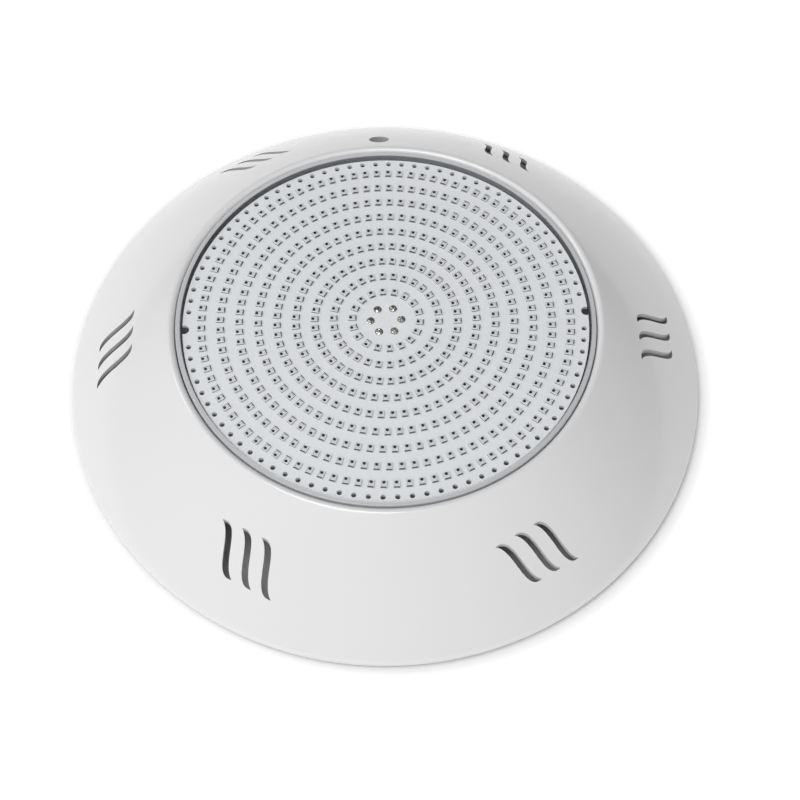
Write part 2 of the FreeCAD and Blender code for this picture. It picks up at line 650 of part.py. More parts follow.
def hinge_pin():
    """Steel pin across the two lugs, about which the lamp swings off the wall."""
    pin = cylinder("hinge_pin", "pin_radius", "pin_height", "pin_half_length + pin_half_length",
                   "0 - pin_half_length", "0 - pin_offset")
    pin.Placement = FreeCAD.Placement(Vector(0, 0, 0), FreeCAD.Rotation(Vector(0, 1, 0), 90))


def lock_screw():
    """Captive screw, turned about its own axis at 12 o'clock, and the washer under its head."""
    seat = "well_floor + lock_washer_thick"
    head_top = seat + " + lock_head_height"
    screw = new_body("lock_screw")
    revolve(screw, "screw", [
        ("0", "lock_tip"), ("lock_radius", "lock_tip"), ("lock_radius", seat),
        ("lock_head_radius", seat), ("lock_head_radius", head_top), ("0", head_top)])
    slot = new_sketch(screw, "XY_Plane", "slot_outline", head_top)
    outline(slot, [("0 - lock_head_radius - 1", "0 - lock_slot_half"),
                   ("lock_head_radius + 1", "0 - lock_slot_half"),
                   ("lock_head_radius + 1", "lock_slot_half"),
                   ("0 - lock_head_radius - 1", "lock_slot_half")])
    pocket(screw, slot, "slot", "lock_slot_depth")
    screw.setExpression("Placement.Base.y", bound("lock_offset"))
    washer = new_body("lock_washer")
    revolve(washer, "ring", [
        ("lock_washer_bore", "well_floor"), ("lock_washer_radius", "well_floor"),
        ("lock_washer_radius", seat), ("lock_washer_bore", seat)])
    washer.setExpression("Placement.Base.y", bound("lock_offset"))


def add_arms(bracket):
    """Round hub with a cross of four ribbed arms."""
    hub = new_sketch(bracket, "XY_Plane", "hub_circle")
    circle(hub, "0", "0", "hub_radius")
    pad(bracket, hub, "hub", "plate_thick")
    level = new_sketch(bracket, "XY_Plane", "side_arms_outline")
    rectangle(level, "0 - side_arm_length", "side_arm_length",
              "0 - arm_half_width", "arm_half_width")
    pad(bracket, level, "side_arms", "plate_thick")
    upright = new_sketch(bracket, "XY_Plane", "upright_outline")
    rectangle(upright, "0 - arm_half_width", "arm_half_width", "0 - hook_end", "top_arm_length")
    pad(bracket, upright, "upright", "plate_thick")
    ribs = new_sketch(bracket, "XY_Plane", "rib_outlines", "plate_thick")
    rectangle_pairs = (("arm_half_width - rib_thick", "arm_half_width"),
                       ("0 - arm_half_width", "rib_thick - arm_half_width"))
    for low, high in rectangle_pairs:
        rectangle(ribs, "rib_start", "rib_end", low, high)
    rib = pad(bracket, ribs, "rib", "rib_top - plate_thick")
    pattern(bracket, rib, "ribs", "wall_hole_count")


def add_hook(bracket):
    """Open hook at 6 o'clock that the hinge pin drops into from above."""
    block = new_sketch(bracket, "YZ_Plane", "hook_outline")
    rectangle(block, "0 - hook_end", "0 - hook_start", "plate_thick", "hook_top")
    pad(bracket, block, "hook", "arm_half_width + arm_half_width", both_ways=True)
    seat = new_sketch(bracket, "YZ_Plane", "hook_seat_circle")
    circle(seat, "0 - pin_offset", "pin_height", "pin_radius + hook_fit")
    width = "arm_half_width + arm_half_width + 1"
    pocket(bracket, seat, "hook_seat", width, both_ways=True)
    mouth = new_sketch(bracket, "YZ_Plane", "hook_mouth_outline")
    rectangle(mouth, "0 - pin_offset", "1 - hook_start",
              "pin_height - pin_radius - hook_fit", "pin_height + pin_radius + hook_fit")
    pocket(bracket, mouth, "hook_mouth", width, both_ways=True)


def wall_bracket():
    """White bracket: hub with the cable opening, four wall holes, screw post and hook."""
    bracket = new_body("wall_bracket")
    add_arms(bracket)
    post = new_sketch(bracket, "XY_Plane", "post_circle", "plate_thick")
    circle(post, "0", "lock_offset", "post_radius")
    pad(bracket, post, "post", "post_top - plate_thick")
    hole = new_sketch(bracket, "XY_Plane", "insert_circle", "post_top")
    circle(hole, "0", "lock_offset", "insert_radius")
    pocket(bracket, hole, "insert_hole", "post_top - insert_bottom")
    opening = new_sketch(bracket, "XY_Plane", "cable_opening_circle", "rib_top")
    circle(opening, "0", "0", "hub_bore_radius")
    pocket(bracket, opening, "cable_opening", "rib_top")
    wall = new_sketch(bracket, "XY_Plane", "wall_hole_circle", "plate_thick")
    circle(wall, "wall_hole_circle", "0", "wall_hole_radius")
    wall_hole = pocket(bracket, wall, "wall_hole", "plate_thick")
    pattern(bracket, wall_hole, "wall_holes", "wall_hole_count")
    add_hook(bracket)


def bracket_insert():
    """Brass insert in the post, which takes the lock screw."""
    insert = new_body("bracket_insert")
    revolve(insert, "sleeve", [
        ("insert_bore", "insert_bottom"), ("insert_radius", "insert_bottom"),
        ("insert_radius", "insert_top"), ("insert_bore", "insert_top")])
    insert.setExpression("Placement.Base.y", bound("lock_offset"))


def check_and_write():
    """Stops on any failed object or bad shape, then writes one STEP file for each sub-part."""
    failed = [item.Name for item in doc.Objects
              if "Invalid" in item.State or "Error" in item.State]
    if failed:
        raise RuntimeError("failed objects: " + ", ".join(failed))
    os.makedirs("parts", exist_ok=True)
    for part in parts:
        if part.Shape.isNull() or not part.Shape.isValid():
            raise RuntimeError(f"bad shape: {part.Label}")
        part.Shape.exportStep(f"parts/{part.Label}.step")
        print(part.Label, len(part.Shape.Solids), round(part.Shape.Volume, 1))


def main():
    for make in (face_ring, lens, lens_gasket, rear_casing, casing_screws, potting_resin,
                 led_board, led_rings, link_pins, solder_joints, driver_parts, terminal_block,
                 gland_body, gland_rings, gland_nuts, hinge_pin, lock_screw, wall_bracket,
                 bracket_insert):
        make()
        doc.recompute()
    check_and_write()


main()
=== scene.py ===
# %% [markdown]
# # Surface-mounted underwater pool light
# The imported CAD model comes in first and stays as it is. It gives every place and size below, in
# metres: z = 0 is the wall plane that the lamp lies on here, and +Y points to 12 o'clock.

# %% Load the frame
import math

import bmesh
import bpy
from mathutils import Matrix, Vector, noise


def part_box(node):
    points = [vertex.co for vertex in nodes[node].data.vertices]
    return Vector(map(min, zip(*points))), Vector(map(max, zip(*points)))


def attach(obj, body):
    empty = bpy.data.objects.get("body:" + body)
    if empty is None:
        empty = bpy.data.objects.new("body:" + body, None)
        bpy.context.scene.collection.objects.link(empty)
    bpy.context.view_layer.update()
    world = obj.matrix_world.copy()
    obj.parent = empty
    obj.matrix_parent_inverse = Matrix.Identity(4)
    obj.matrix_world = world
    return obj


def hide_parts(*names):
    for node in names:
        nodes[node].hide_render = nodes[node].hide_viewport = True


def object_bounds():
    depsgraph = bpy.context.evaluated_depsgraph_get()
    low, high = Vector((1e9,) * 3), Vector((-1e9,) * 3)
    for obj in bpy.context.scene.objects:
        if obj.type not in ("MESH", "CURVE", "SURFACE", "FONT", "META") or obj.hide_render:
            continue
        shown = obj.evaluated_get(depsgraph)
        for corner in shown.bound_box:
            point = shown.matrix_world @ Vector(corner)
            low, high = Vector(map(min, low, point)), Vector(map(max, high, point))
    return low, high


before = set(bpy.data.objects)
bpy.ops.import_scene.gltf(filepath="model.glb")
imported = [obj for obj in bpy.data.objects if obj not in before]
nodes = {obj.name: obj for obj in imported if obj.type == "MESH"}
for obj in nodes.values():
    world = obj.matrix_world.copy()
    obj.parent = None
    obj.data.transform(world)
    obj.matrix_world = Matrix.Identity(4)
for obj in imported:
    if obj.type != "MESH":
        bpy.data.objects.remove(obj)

MM = 0.001


def plain_box(corners):
    return [[float(number) for number in corner] for corner in corners]


cad_bounds = plain_box(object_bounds())
print("CAD box", cad_bounds)

# %% [markdown]
# ## Camera, floor and light
# The lamp lies on its back on a pale table and is seen from in front and above. A long lens keeps
# the rings nearly round. A camera is aimed by turning its own -Z axis onto the target, and the
# small roll is a turn about that same axis, so no lens shift is needed.

# %% Camera
LENS_MM = 71.2
CAMERA_PLACE = Vector((-0.0114, -0.3843, 0.6348))
CAMERA_TARGET = Vector((0.0047, -0.0416, 0.0480))
CAMERA_ROLL = math.radians(0.72)
camera_data = bpy.data.cameras.new("camera")
camera_data.lens = LENS_MM
camera_data.sensor_width = 36
camera = bpy.data.objects.new("camera", camera_data)
bpy.context.scene.collection.objects.link(camera)
aim = (CAMERA_TARGET - CAMERA_PLACE).to_track_quat("-Z", "Y").to_matrix()
camera.matrix_world = (Matrix.Translation(CAMERA_PLACE)
                       @ (aim @ Matrix.Rotation(CAMERA_ROLL, 3, "Z")).to_4x4())
bpy.context.scene.camera = camera
print("camera distance", round((CAMERA_TARGET - CAMERA_PLACE).length, 3), "m")

# %% [markdown]
# Soft studio light is mostly a big bright wall at the front left and a darker room behind, as a
# white sheet and a dark flag would give. Glossy plastic and solder need that difference to show
# their shape. A lamp overhead lifts the board, and a smaller one up on the left gives the LEDs
# crisp little shadows.

# %% Floor and lights
FLOOR_SIZE = 6.0
FLOOR_DROP = 0.0002
BRIGHT_SIDE = math.radians(236)


def area_lamp(name, place, size, power):
    """A round lamp that faces the middle of the scene."""
    data = bpy.data.lights.new(name, "AREA")
    data.shape = "DISK"
    data.size = size
    data.energy = power
    lamp = bpy.data.objects.new(name, data)
    lamp.location = place
    lamp.rotation_euler = (-Vector(place)).to_track_quat("-Z", "Y").to_euler()
    bpy.context.scene.collection.objects.link(lamp)


def studio_room(bright, dark, bright_from, dark_from, towards):
    """A room whose light grows towards one side, given as an angle from +X."""
    world = bpy.data.worlds.new("studio")
    world.use_nodes = True
    tree = world.node_tree
    way = tree.nodes.new("ShaderNodeTexCoord")
    along = tree.nodes.new("ShaderNodeVectorMath")
    along.operation = "DOT_PRODUCT"
    along.inputs[1].default_value = (math.cos(towards), math.sin(towards), 0)
    fall = tree.nodes.new("ShaderNodeMapRange")
    fall.interpolation_type = "SMOOTHSTEP"
    fall.inputs["From Min"].default_value = bright_from
    fall.inputs["From Max"].default_value = dark_from
    fall.inputs["To Min"].default_value = bright
    fall.inputs["To Max"].default_value = dark
    tree.links.new(way.outputs["Generated"], along.inputs[0])
    tree.links.new(along.outputs["Value"], fall.inputs["Value"])
    tree.links.new(fall.outputs["Result"], tree.nodes["Background"].inputs["Strength"])
    tree.nodes["Background"].inputs["Color"].default_value = (1, 1, 1, 1)
    return world


area_lamp("key_lamp", (-1.6, 0.5, 1.4), 0.45, 3.5)
area_lamp("top_lamp", (-0.5, -0.7, 2.2), 1.4, 26)
bpy.context.scene.world = studio_room(0.66, 0.1, 0.1, -0.55, BRIGHT_SIDE)
bpy.context.scene.view_settings.view_transform = "Standard"

floor_mesh = bpy.data.meshes.new("floor")
half = FLOOR_SIZE / 2
floor_mesh.from_pydata([(-half, -half, 0), (half, -half, 0), (half, half, 0), (-half, half, 0)],
                       [], [(0, 1, 2, 3)])
floor = bpy.data.objects.new("floor", floor_mesh)
floor.location.z = cad_bounds[0][2] - FLOOR_DROP
bpy.context.scene.collection.objects.link(floor)
print("floor at", round(floor.location.z, 5))

# %% [markdown]
# ## Finishes
# Every finish is one Principled shader with its own small pattern in Object coordinates, so the
# grain keeps its real size. Two noises do most of the work: a slow one that varies colour and
# gloss a little, as on any moulded part, and a fine one that gives the skin its bump.

# %% Finish helpers


def new_material(name):
    material = bpy.data.materials.new(name)
    material.use_nodes = True
    return material, material.node_tree.nodes, material.node_tree.links


def object_noise(material, scale, detail=3.0):
    """A noise texture in the piece's own metres."""
    nodes_, links = material.node_tree.nodes, material.node_tree.links
    place = nodes_.new("ShaderNodeTexCoord")
    texture = nodes_.new("ShaderNodeTexNoise")
    texture.inputs["Scale"].default_value = scale
    texture.inputs["Detail"].default_value = detail
    links.new(place.outputs["Object"], texture.inputs["Vector"])
    return texture.outputs["Fac"]


def spread(material, factor, low, high):
    """Maps a noise to a range of plain numbers."""
    ramp = material.node_tree.nodes.new("ShaderNodeMapRange")
    ramp.inputs["From Min"].default_value = 0.3
    ramp.inputs["From Max"].default_value = 0.7
    ramp.inputs["To Min"].default_value = low
    ramp.inputs["To Max"].default_value = high
    material.node_tree.links.new(factor, ramp.inputs["Value"])
    return ramp.outputs["Result"]


def tint(material, factor, first, second):
    """Mixes two colours by a factor."""
    mix = material.node_tree.nodes.new("ShaderNodeMix")
    mix.data_type = "RGBA"
    mix.inputs[6].default_value = (*first, 1)
    mix.inputs[7].default_value = (*second, 1)
    material.node_tree.links.new(factor, mix.inputs[0])
    return mix.outputs[2]


def skin(material, factor, strength, distance):
    """Bump from a factor, wired to the shader."""
    bump = material.node_tree.nodes.new("ShaderNodeBump")
    bump.inputs["Strength"].default_value = strength
    bump.inputs["Distance"].default_value = distance
    material.node_tree.links.new(factor, bump.inputs["Height"])
    shader = material.node_tree.nodes["Principled BSDF"]
    material.node_tree.links.new(bump.outputs["Normal"], shader.inputs["Normal"])


def finish_material(name, first, second, rough, patch=18.0, grain=900.0, depth=0.00002,
                    metal=0.0, coat=0.0):
    """Two close colours and a gloss range that wander with a slow noise, and a fine skin."""
    material, nodes_, links = new_material(name)
    shader = nodes_["Principled BSDF"]
    shader.inputs["Metallic"].default_value = metal
    shader.inputs["Coat Weight"].default_value = coat
    shader.inputs["Coat Roughness"].default_value = 0.06
    slow = object_noise(material, patch)
    links.new(tint(material, slow, first, second), shader.inputs["Base Color"])
    links.new(spread(material, slow, rough[0], rough[1]), shader.inputs["Roughness"])
    skin(material, object_noise(material, grain, 2.0), 0.25, depth)
    return material


# %% [markdown]
# ### The plastics, metals and rubbers
# Glossy injection-moulded ABS is smooth with a faint orange-peel skin, so its grain is shallow.
# The bracket and casing are the same plastic with a satin finish. Metals differ by their colour,
# their roughness and how long their grain is.

# %% Plain finishes
gloss_white = finish_material("gloss_white_abs", (0.71, 0.71, 0.72), (0.735, 0.735, 0.742),
                              (0.17, 0.24), patch=9, grain=450, depth=0.00003, coat=0.35)
satin_white = finish_material("satin_white_abs", (0.72, 0.72, 0.72), (0.77, 0.77, 0.77),
                              (0.38, 0.5), grain=2200, depth=0.00005)
satin_grey = finish_material("satin_grey_abs", (0.42, 0.43, 0.44), (0.47, 0.48, 0.49),
                             (0.4, 0.55), grain=2200, depth=0.00006)
white_nylon = finish_material("white_nylon", (0.62, 0.62, 0.6), (0.7, 0.7, 0.67), (0.35, 0.5),
                              grain=1800)
black_rubber = finish_material("black_rubber", (0.012, 0.012, 0.013), (0.03, 0.03, 0.03),
                               (0.55, 0.75), grain=3500, depth=0.00005)
silicone = finish_material("white_silicone", (0.72, 0.73, 0.73), (0.8, 0.81, 0.81), (0.3, 0.42))
epoxy = finish_material("cast_epoxy", (0.02, 0.021, 0.023), (0.035, 0.036, 0.04), (0.12, 0.25),
                        patch=40, coat=0.4)
steel = finish_material("stainless_steel", (0.5, 0.5, 0.49), (0.6, 0.6, 0.58), (0.22, 0.36),
                        patch=300, grain=5000, metal=1.0)
brass = finish_material("turned_brass", (0.68, 0.5, 0.22), (0.78, 0.6, 0.3), (0.22, 0.34),
                        patch=300, grain=4000, metal=1.0)
copper = finish_material("enamelled_copper", (0.55, 0.2, 0.08), (0.66, 0.27, 0.12), (0.2, 0.3),
                         patch=200, metal=1.0, coat=0.5)
green_mask = finish_material("green_board", (0.01, 0.12, 0.05), (0.02, 0.16, 0.07), (0.25, 0.35),
                             patch=60, coat=0.3)
black_epoxy = finish_material("black_epoxy", (0.012, 0.012, 0.014), (0.025, 0.025, 0.025),
                              (0.4, 0.55), patch=500, grain=6000)
blue_sleeve = finish_material("capacitor_sleeve", (0.01, 0.015, 0.06), (0.02, 0.03, 0.09),
                              (0.18, 0.28), patch=80)
green_nylon = finish_material("green_nylon", (0.02, 0.18, 0.06), (0.03, 0.24, 0.08), (0.3, 0.4),
                              patch=100)
print(len(bpy.data.materials), "finishes so far")

# %% [markdown]
# ### The clear cover
# Real polycarbonate bends light, but a thin flat window hardly moves what is behind it. So the
# cover mixes see-through with a mirror, 4% head-on and more at a glance, which keeps the lamps'
# light on the board without slow, noisy caustics. The Fresnel node isn't used: from inside the
# wall it turns fully opaque past the critical angle, and the ray isn't bent here to match. The
# moulded side wall is seen edge-on through centimetres of plastic and looks grey, so past the
# window's edge a hazy surface takes over.

# %% Clear polycarbonate
lens_low, lens_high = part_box("lens")
COVER_WALL = 2.2 * MM
COVER_RADIUS = 93.0 * MM
EDGE_BLEND = 0.3 * MM
WALL_HAZE = 0.7
HEAD_ON_MIRROR = 0.04
GRAZING_POWER = 5


def clear_material():
    material, nodes_, links = new_material("clear_polycarbonate")
    gloss = nodes_["Principled BSDF"]
    gloss.inputs["Base Color"].default_value = (0.72, 0.73, 0.75, 1)
    gloss.inputs["Roughness"].default_value = 0.12
    through = nodes_.new("ShaderNodeBsdfTransparent")
    through.inputs["Color"].default_value = (0.995, 0.998, 1.0, 1)
    place = nodes_.new("ShaderNodeTexCoord")
    flat = nodes_.new("ShaderNodeVectorMath")
    flat.operation = "MULTIPLY"
    flat.inputs[1].default_value = (1, 1, 0)
    length = nodes_.new("ShaderNodeVectorMath")
    length.operation = "LENGTH"
    links.new(place.outputs["Object"], flat.inputs[0])
    links.new(flat.outputs[0], length.inputs[0])

    def by_radius(at_window, at_wall):
        """A number that changes where the window ends and the side wall starts."""
        ramp = nodes_.new("ShaderNodeMapRange")
        ramp.inputs["From Min"].default_value = COVER_RADIUS - COVER_WALL - EDGE_BLEND
        ramp.inputs["From Max"].default_value = COVER_RADIUS - COVER_WALL + EDGE_BLEND
        ramp.inputs["To Min"].default_value = at_window
        ramp.inputs["To Max"].default_value = at_wall
        links.new(length.outputs["Value"], ramp.inputs["Value"])
        return ramp.outputs["Result"]

    facing = nodes_.new("ShaderNodeLayerWeight")
    facing.inputs["Blend"].default_value = 0.5
    grazing = nodes_.new("ShaderNodeMath")
    grazing.operation = "POWER"
    grazing.inputs[1].default_value = GRAZING_POWER
    mirror = nodes_.new("ShaderNodeMapRange")
    mirror.inputs["To Min"].default_value = HEAD_ON_MIRROR
    most = nodes_.new("ShaderNodeMath")
    most.operation = "MAXIMUM"
    mix = nodes_.new("ShaderNodeMixShader")
    links.new(by_radius(1, 0), gloss.inputs["Metallic"])
    links.new(facing.outputs["Facing"], grazing.inputs[0])
    links.new(grazing.outputs[0], mirror.inputs["Value"])
    links.new(by_radius(0, WALL_HAZE), most.inputs[0])
    links.new(mirror.outputs["Result"], most.inputs[1])
    links.new(most.outputs[0], mix.inputs["Fac"])
    links.new(through.outputs["BSDF"], mix.inputs[1])
    links.new(gloss.outputs["BSDF"], mix.inputs[2])
    links.new(mix.outputs["Shader"], nodes_["Material Output"].inputs["Surface"])
    return material


clear = clear_material()
print("cover's side wall turns hazy from", round((COVER_RADIUS - COVER_WALL) / MM, 1), "mm")

# %% [markdown]
# ### The LED board
# White solder mask is slightly blue and not quite even: it is a touch darker over bare laminate
# than over the copper rings that join the LEDs. The rings are worked out from the distance to the
# board's centre, so they follow the LEDs.

# %% White solder mask
LED_LENGTH = 3.5 * MM
LED_WIDTH = 2.8 * MM
FIRST_RADIUS = 15.0 * MM
RING_STEP = 8.35 * MM


def board_material():
    material, nodes_, links = new_material("white_solder_mask")
    shader = nodes_["Principled BSDF"]
    shader.inputs["Coat Weight"].default_value = 0.15
    place = nodes_.new("ShaderNodeTexCoord")
    split = nodes_.new("ShaderNodeSeparateXYZ")
    flat = nodes_.new("ShaderNodeCombineXYZ")
    length = nodes_.new("ShaderNodeVectorMath")
    length.operation = "LENGTH"
    links.new(place.outputs["Object"], split.inputs[0])
    links.new(split.outputs["X"], flat.inputs["X"])
    links.new(split.outputs["Y"], flat.inputs["Y"])
    links.new(flat.outputs[0], length.inputs[0])
    phase = nodes_.new("ShaderNodeMath")
    phase.operation = "MULTIPLY_ADD"
    phase.inputs[1].default_value = 2 * math.pi / RING_STEP
    phase.inputs[2].default_value = -2 * math.pi * FIRST_RADIUS / RING_STEP
    links.new(length.outputs["Value"], phase.inputs[0])
    wave = nodes_.new("ShaderNodeMath")
    wave.operation = "COSINE"
    links.new(phase.outputs[0], wave.inputs[0])
    half_wave = nodes_.new("ShaderNodeMapRange")
    half_wave.inputs["From Min"].default_value = -1
    links.new(wave.outputs[0], half_wave.inputs["Value"])
    ringed = tint(material, half_wave.outputs["Result"], (0.89, 0.90, 0.915), (0.91, 0.92, 0.935))
    cloud = nodes_.new("ShaderNodeMix")
    cloud.data_type = "RGBA"
    cloud.blend_type = "MULTIPLY"
    cloud.inputs[0].default_value = 1.0
    links.new(ringed, cloud.inputs[6])
    links.new(tint(material, object_noise(material, 60), (0.96, 0.96, 0.96), (1, 1, 1)),
              cloud.inputs[7])
    links.new(cloud.outputs[2], shader.inputs["Base Color"])
    links.new(spread(material, object_noise(material, 200), 0.36, 0.5), shader.inputs["Roughness"])
    skin(material, object_noise(material, 2500, 2.0), 0.3, 0.00002)
    return material


white_mask = board_material()
led_white = finish_material("led_package_white", (0.80, 0.81, 0.82), (0.87, 0.88, 0.89),
                            (0.28, 0.4), patch=500, grain=5000)
# Dark grey for the package's side walls and the window's walls: painted shade that outlines each
# package.
led_side_shade = finish_material("led_package_painted_shade", (0.16, 0.16, 0.17), (0.3, 0.3, 0.31),
                           (0.3, 0.45), patch=700, grain=5000)
led_window = finish_material("led_window_gel", (0.72, 0.73, 0.74), (0.84, 0.85, 0.86),
                             (0.12, 0.2), patch=900, grain=4000, coat=0.6)
# Dark die and dark bar: partly the real die, partly painted shade and painted shadow.
led_die_and_shade = finish_material("led_dark_die_and_painted_shade", (0.006, 0.006, 0.007), (0.03, 0.03, 0.034),
                          (0.2, 0.4), patch=1500, grain=5000)
tin = finish_material("bright_tin", (0.16, 0.155, 0.14), (0.85, 0.84, 0.78), (0.08, 0.2),
                      patch=1100, grain=1600, depth=0.00012, metal=1.0)
print("rings of LEDs every", round(RING_STEP / MM, 2), "mm from", round(FIRST_RADIUS / MM, 2))

# %% [markdown]
# ## Turned pieces
# The skirt, the clear cover and the seals are all bodies of revolution. Spin or a Screw modifier
# would do it. Here a Geometry Nodes tree does: it takes a grid, reads each row's radius and
# height from an outline, and wraps the grid round the axis. One tree then serves every piece.

# %% Geometry Nodes helpers
SAME_PLACE = 1e-7


def new_tree(name, inputs):
    """An empty geometry tree with named inputs. inputs holds pairs of a name and a socket kind."""
    tree = bpy.data.node_groups.new(name, "GeometryNodeTree")
    tree.interface.new_socket("Geometry", in_out="INPUT", socket_type="NodeSocketGeometry")
    tree.interface.new_socket("Geometry", in_out="OUTPUT", socket_type="NodeSocketGeometry")
    for label, kind in inputs:
        tree.interface.new_socket(label, in_out="INPUT", socket_type="NodeSocket" + kind)
    return tree, tree.nodes.new("NodeGroupInput"), tree.nodes.new("NodeGroupOutput")


def add(tree, kind, feeds=(), **settings):
    """A node, its settings, and what feeds its sockets: a link or a plain value."""
    node = tree.nodes.new(kind)
    for key, setting in settings.items():
        setattr(node, key, setting)
    for key, source in dict(feeds).items():
        if isinstance(source, bpy.types.NodeSocket):
            tree.links.new(source, node.inputs[key])
        else:
            node.inputs[key].default_value = source
    return node


def maths(tree, operation, *terms):
    """The result of a Math node on links or plain numbers."""
    return add(tree, "ShaderNodeMath", enumerate(terms), operation=operation).outputs[0]


def hidden_object(name, mesh):
    """An object that only feeds a tree: it is in no collection, so it is never shown."""
    return bpy.data.objects.new(name, mesh)


def baked(name, tree, values, start=None):
    """Runs a tree on a new object and keeps the result as a plain mesh."""
    piece = bpy.data.objects.new(name, start or bpy.data.meshes.new(name))
    bpy.context.scene.collection.objects.link(piece)
    modifier = piece.modifiers.new(name, "NODES")
    modifier.node_group = tree
    for item in tree.interface.items_tree:
        if item.in_out == "INPUT" and item.name in values:
            modifier[item.identifier] = values[item.name]
    graph = bpy.context.evaluated_depsgraph_get()
    mesh = bpy.data.meshes.new_from_object(piece.evaluated_get(graph), depsgraph=graph)
    piece.modifiers.remove(modifier)
    piece.data = mesh
    mesh.name = name
    return piece


def tidy_mesh(mesh, sharp_degrees=32):
    """Merges doubles, points faces outward and keeps edges sharper than the angle crisp."""
    work = bmesh.new()
    work.from_mesh(mesh)
    bmesh.ops.remove_doubles(work, verts=work.verts, dist=SAME_PLACE)
    bmesh.ops.dissolve_degenerate(work, edges=work.edges, dist=SAME_PLACE)
    bmesh.ops.recalc_face_normals(work, faces=work.faces)
    limit = math.radians(sharp_degrees)
    for face in work.faces:
        face.smooth = True
    for edge in work.edges:
        edge.smooth = edge.calc_face_angle(0) < limit
    work.to_mesh(mesh)
    work.free()


# %% [markdown]
# ### The tree itself
# The grid has one row for each point of the outline and one column for each step of the turn.
# Each grid point's number gives its row and column, the row gives the radius and height, and the
# column gives the angle. A closed outline repeats its first row, and the last column meets the
# first, so merging by distance leaves no seam.

# %% Tree for a turned piece


def turned_tree():
    tree, given, result = new_tree("turned", [("Outline", "Object"), ("Points", "Int"),
                                              ("Closed", "Int"), ("Steps", "Int"),
                                              ("Material", "Material")])
    outline = add(tree, "GeometryNodeObjectInfo", {"Object": given.outputs["Outline"]})
    rows = maths(tree, "ADD", given.outputs["Points"], given.outputs["Closed"])
    columns = maths(tree, "ADD", given.outputs["Steps"], 1)
    grid = add(tree, "GeometryNodeMeshGrid", {"Vertices X": columns, "Vertices Y": rows})
    index = add(tree, "GeometryNodeInputIndex").outputs[0]
    row = maths(tree, "MODULO", maths(tree, "MODULO", index, rows), given.outputs["Points"])
    column = maths(tree, "FLOOR", maths(tree, "DIVIDE", maths(tree, "ADD", index, 0.5), rows))
    turn = maths(tree, "DIVIDE", column, given.outputs["Steps"])
    angle = maths(tree, "MULTIPLY", turn, 2 * math.pi)
    place = add(tree, "GeometryNodeInputPosition").outputs[0]
    sample = add(tree, "GeometryNodeSampleIndex", data_type="FLOAT_VECTOR")
    tree.links.new(outline.outputs["Geometry"], sample.inputs["Geometry"])
    tree.links.new(place, sample.inputs["Value"])
    tree.links.new(row, sample.inputs["Index"])
    split = add(tree, "ShaderNodeSeparateXYZ", {0: sample.outputs[0]})
    radius, height = split.outputs["X"], split.outputs["Z"]
    wrapped = add(tree, "ShaderNodeCombineXYZ", {
        "X": maths(tree, "MULTIPLY", radius, maths(tree, "COSINE", angle)),
        "Y": maths(tree, "MULTIPLY", radius, maths(tree, "SINE", angle)), "Z": height})
    moved = add(tree, "GeometryNodeSetPosition", {"Geometry": grid.outputs["Mesh"],
                                                  "Position": wrapped.outputs[0]})
    joined = add(tree, "GeometryNodeMergeByDistance", {"Geometry": moved.outputs[0],
                                                       "Distance": SAME_PLACE})
    coloured = add(tree, "GeometryNodeSetMaterial", {"Geometry": joined.outputs[0],
                                                     "Material": given.outputs["Material"]})
    tree.links.new(coloured.outputs[0], result.inputs[0])
    return tree


turned = turned_tree()
print("turning tree has", len(turned.nodes), "nodes")


def turned_piece(name, outline_points, material, steps, closed=True):
    """A body of revolution from an outline of (radius, height) in metres."""
    mesh = bpy.data.meshes.new(name + "_outline")
    mesh.from_pydata([(r, 0, z) for r, z in outline_points], [], [])
    values = {"Outline": hidden_object(name + "_outline", mesh), "Points": len(outline_points),
              "Closed": int(closed), "Steps": steps, "Material": material}
    piece = baked(name, turned, values)
    tidy_mesh(piece.data)
    return piece


def arc(centre, radius, first, last, count):
    """Points along an arc, from one angle to another, in degrees."""
    points = []
    for index in range(count + 1):
        angle = math.radians(first + (last - first) * index / count)
        points.append((centre[0] + radius * math.cos(angle), centre[1] + radius * math.sin(angle)))
    return points


# %% [markdown]
# ## The skirt
# The skirt is one glossy moulding. Its section is a shallow dome arc that meets a rounded lip at
# the top and a rounded shoulder at the rim. Both small arcs touch the dome's arc tangentially, so
# their centres come from the difference of the radii. That keeps the highlights free of kinks.

# %% Section of the skirt
ring_low, ring_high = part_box("face_ring")
RIM_RADIUS = ring_high.x
RIM_BOTTOM = ring_low.z
SHELL = 2.0 * MM
LIP_ROUND = 2.0 * MM
SHOULDER_ROUND = 4.0 * MM
EDGE_ROUND = 0.9 * MM
LIP_RADIUS = 93.5 * MM
RIM_INNER = RIM_RADIUS - 3.5 * MM
DOME_RADIUS = 225 * MM
DOME_CENTRE = (-29.21 * MM, -136.89 * MM)
SEAT_HEIGHT = lens_low.z + 3.0 * MM
COLLAR_BOTTOM = 33.0 * MM
COLLAR_BORE = 100.8 * MM
COLLAR_RADIUS = 104.5 * MM


def dome_height(radius, drop=0.0):
    """Height of the dome's surface, or of one a little inside it, at a radius."""
    reach = DOME_RADIUS - drop
    return DOME_CENTRE[1] + math.sqrt(reach ** 2 - (radius - DOME_CENTRE[0]) ** 2)


def touching_centre(radius, rounding):
    """Centre of a small arc of this rounding that touches the dome's arc from inside."""
    reach = DOME_RADIUS - rounding
    rise = math.sqrt(reach ** 2 - (radius - DOME_CENTRE[0]) ** 2)
    centre = (radius, DOME_CENTRE[1] + rise)
    return centre, math.degrees(math.atan2(rise, radius - DOME_CENTRE[0]))


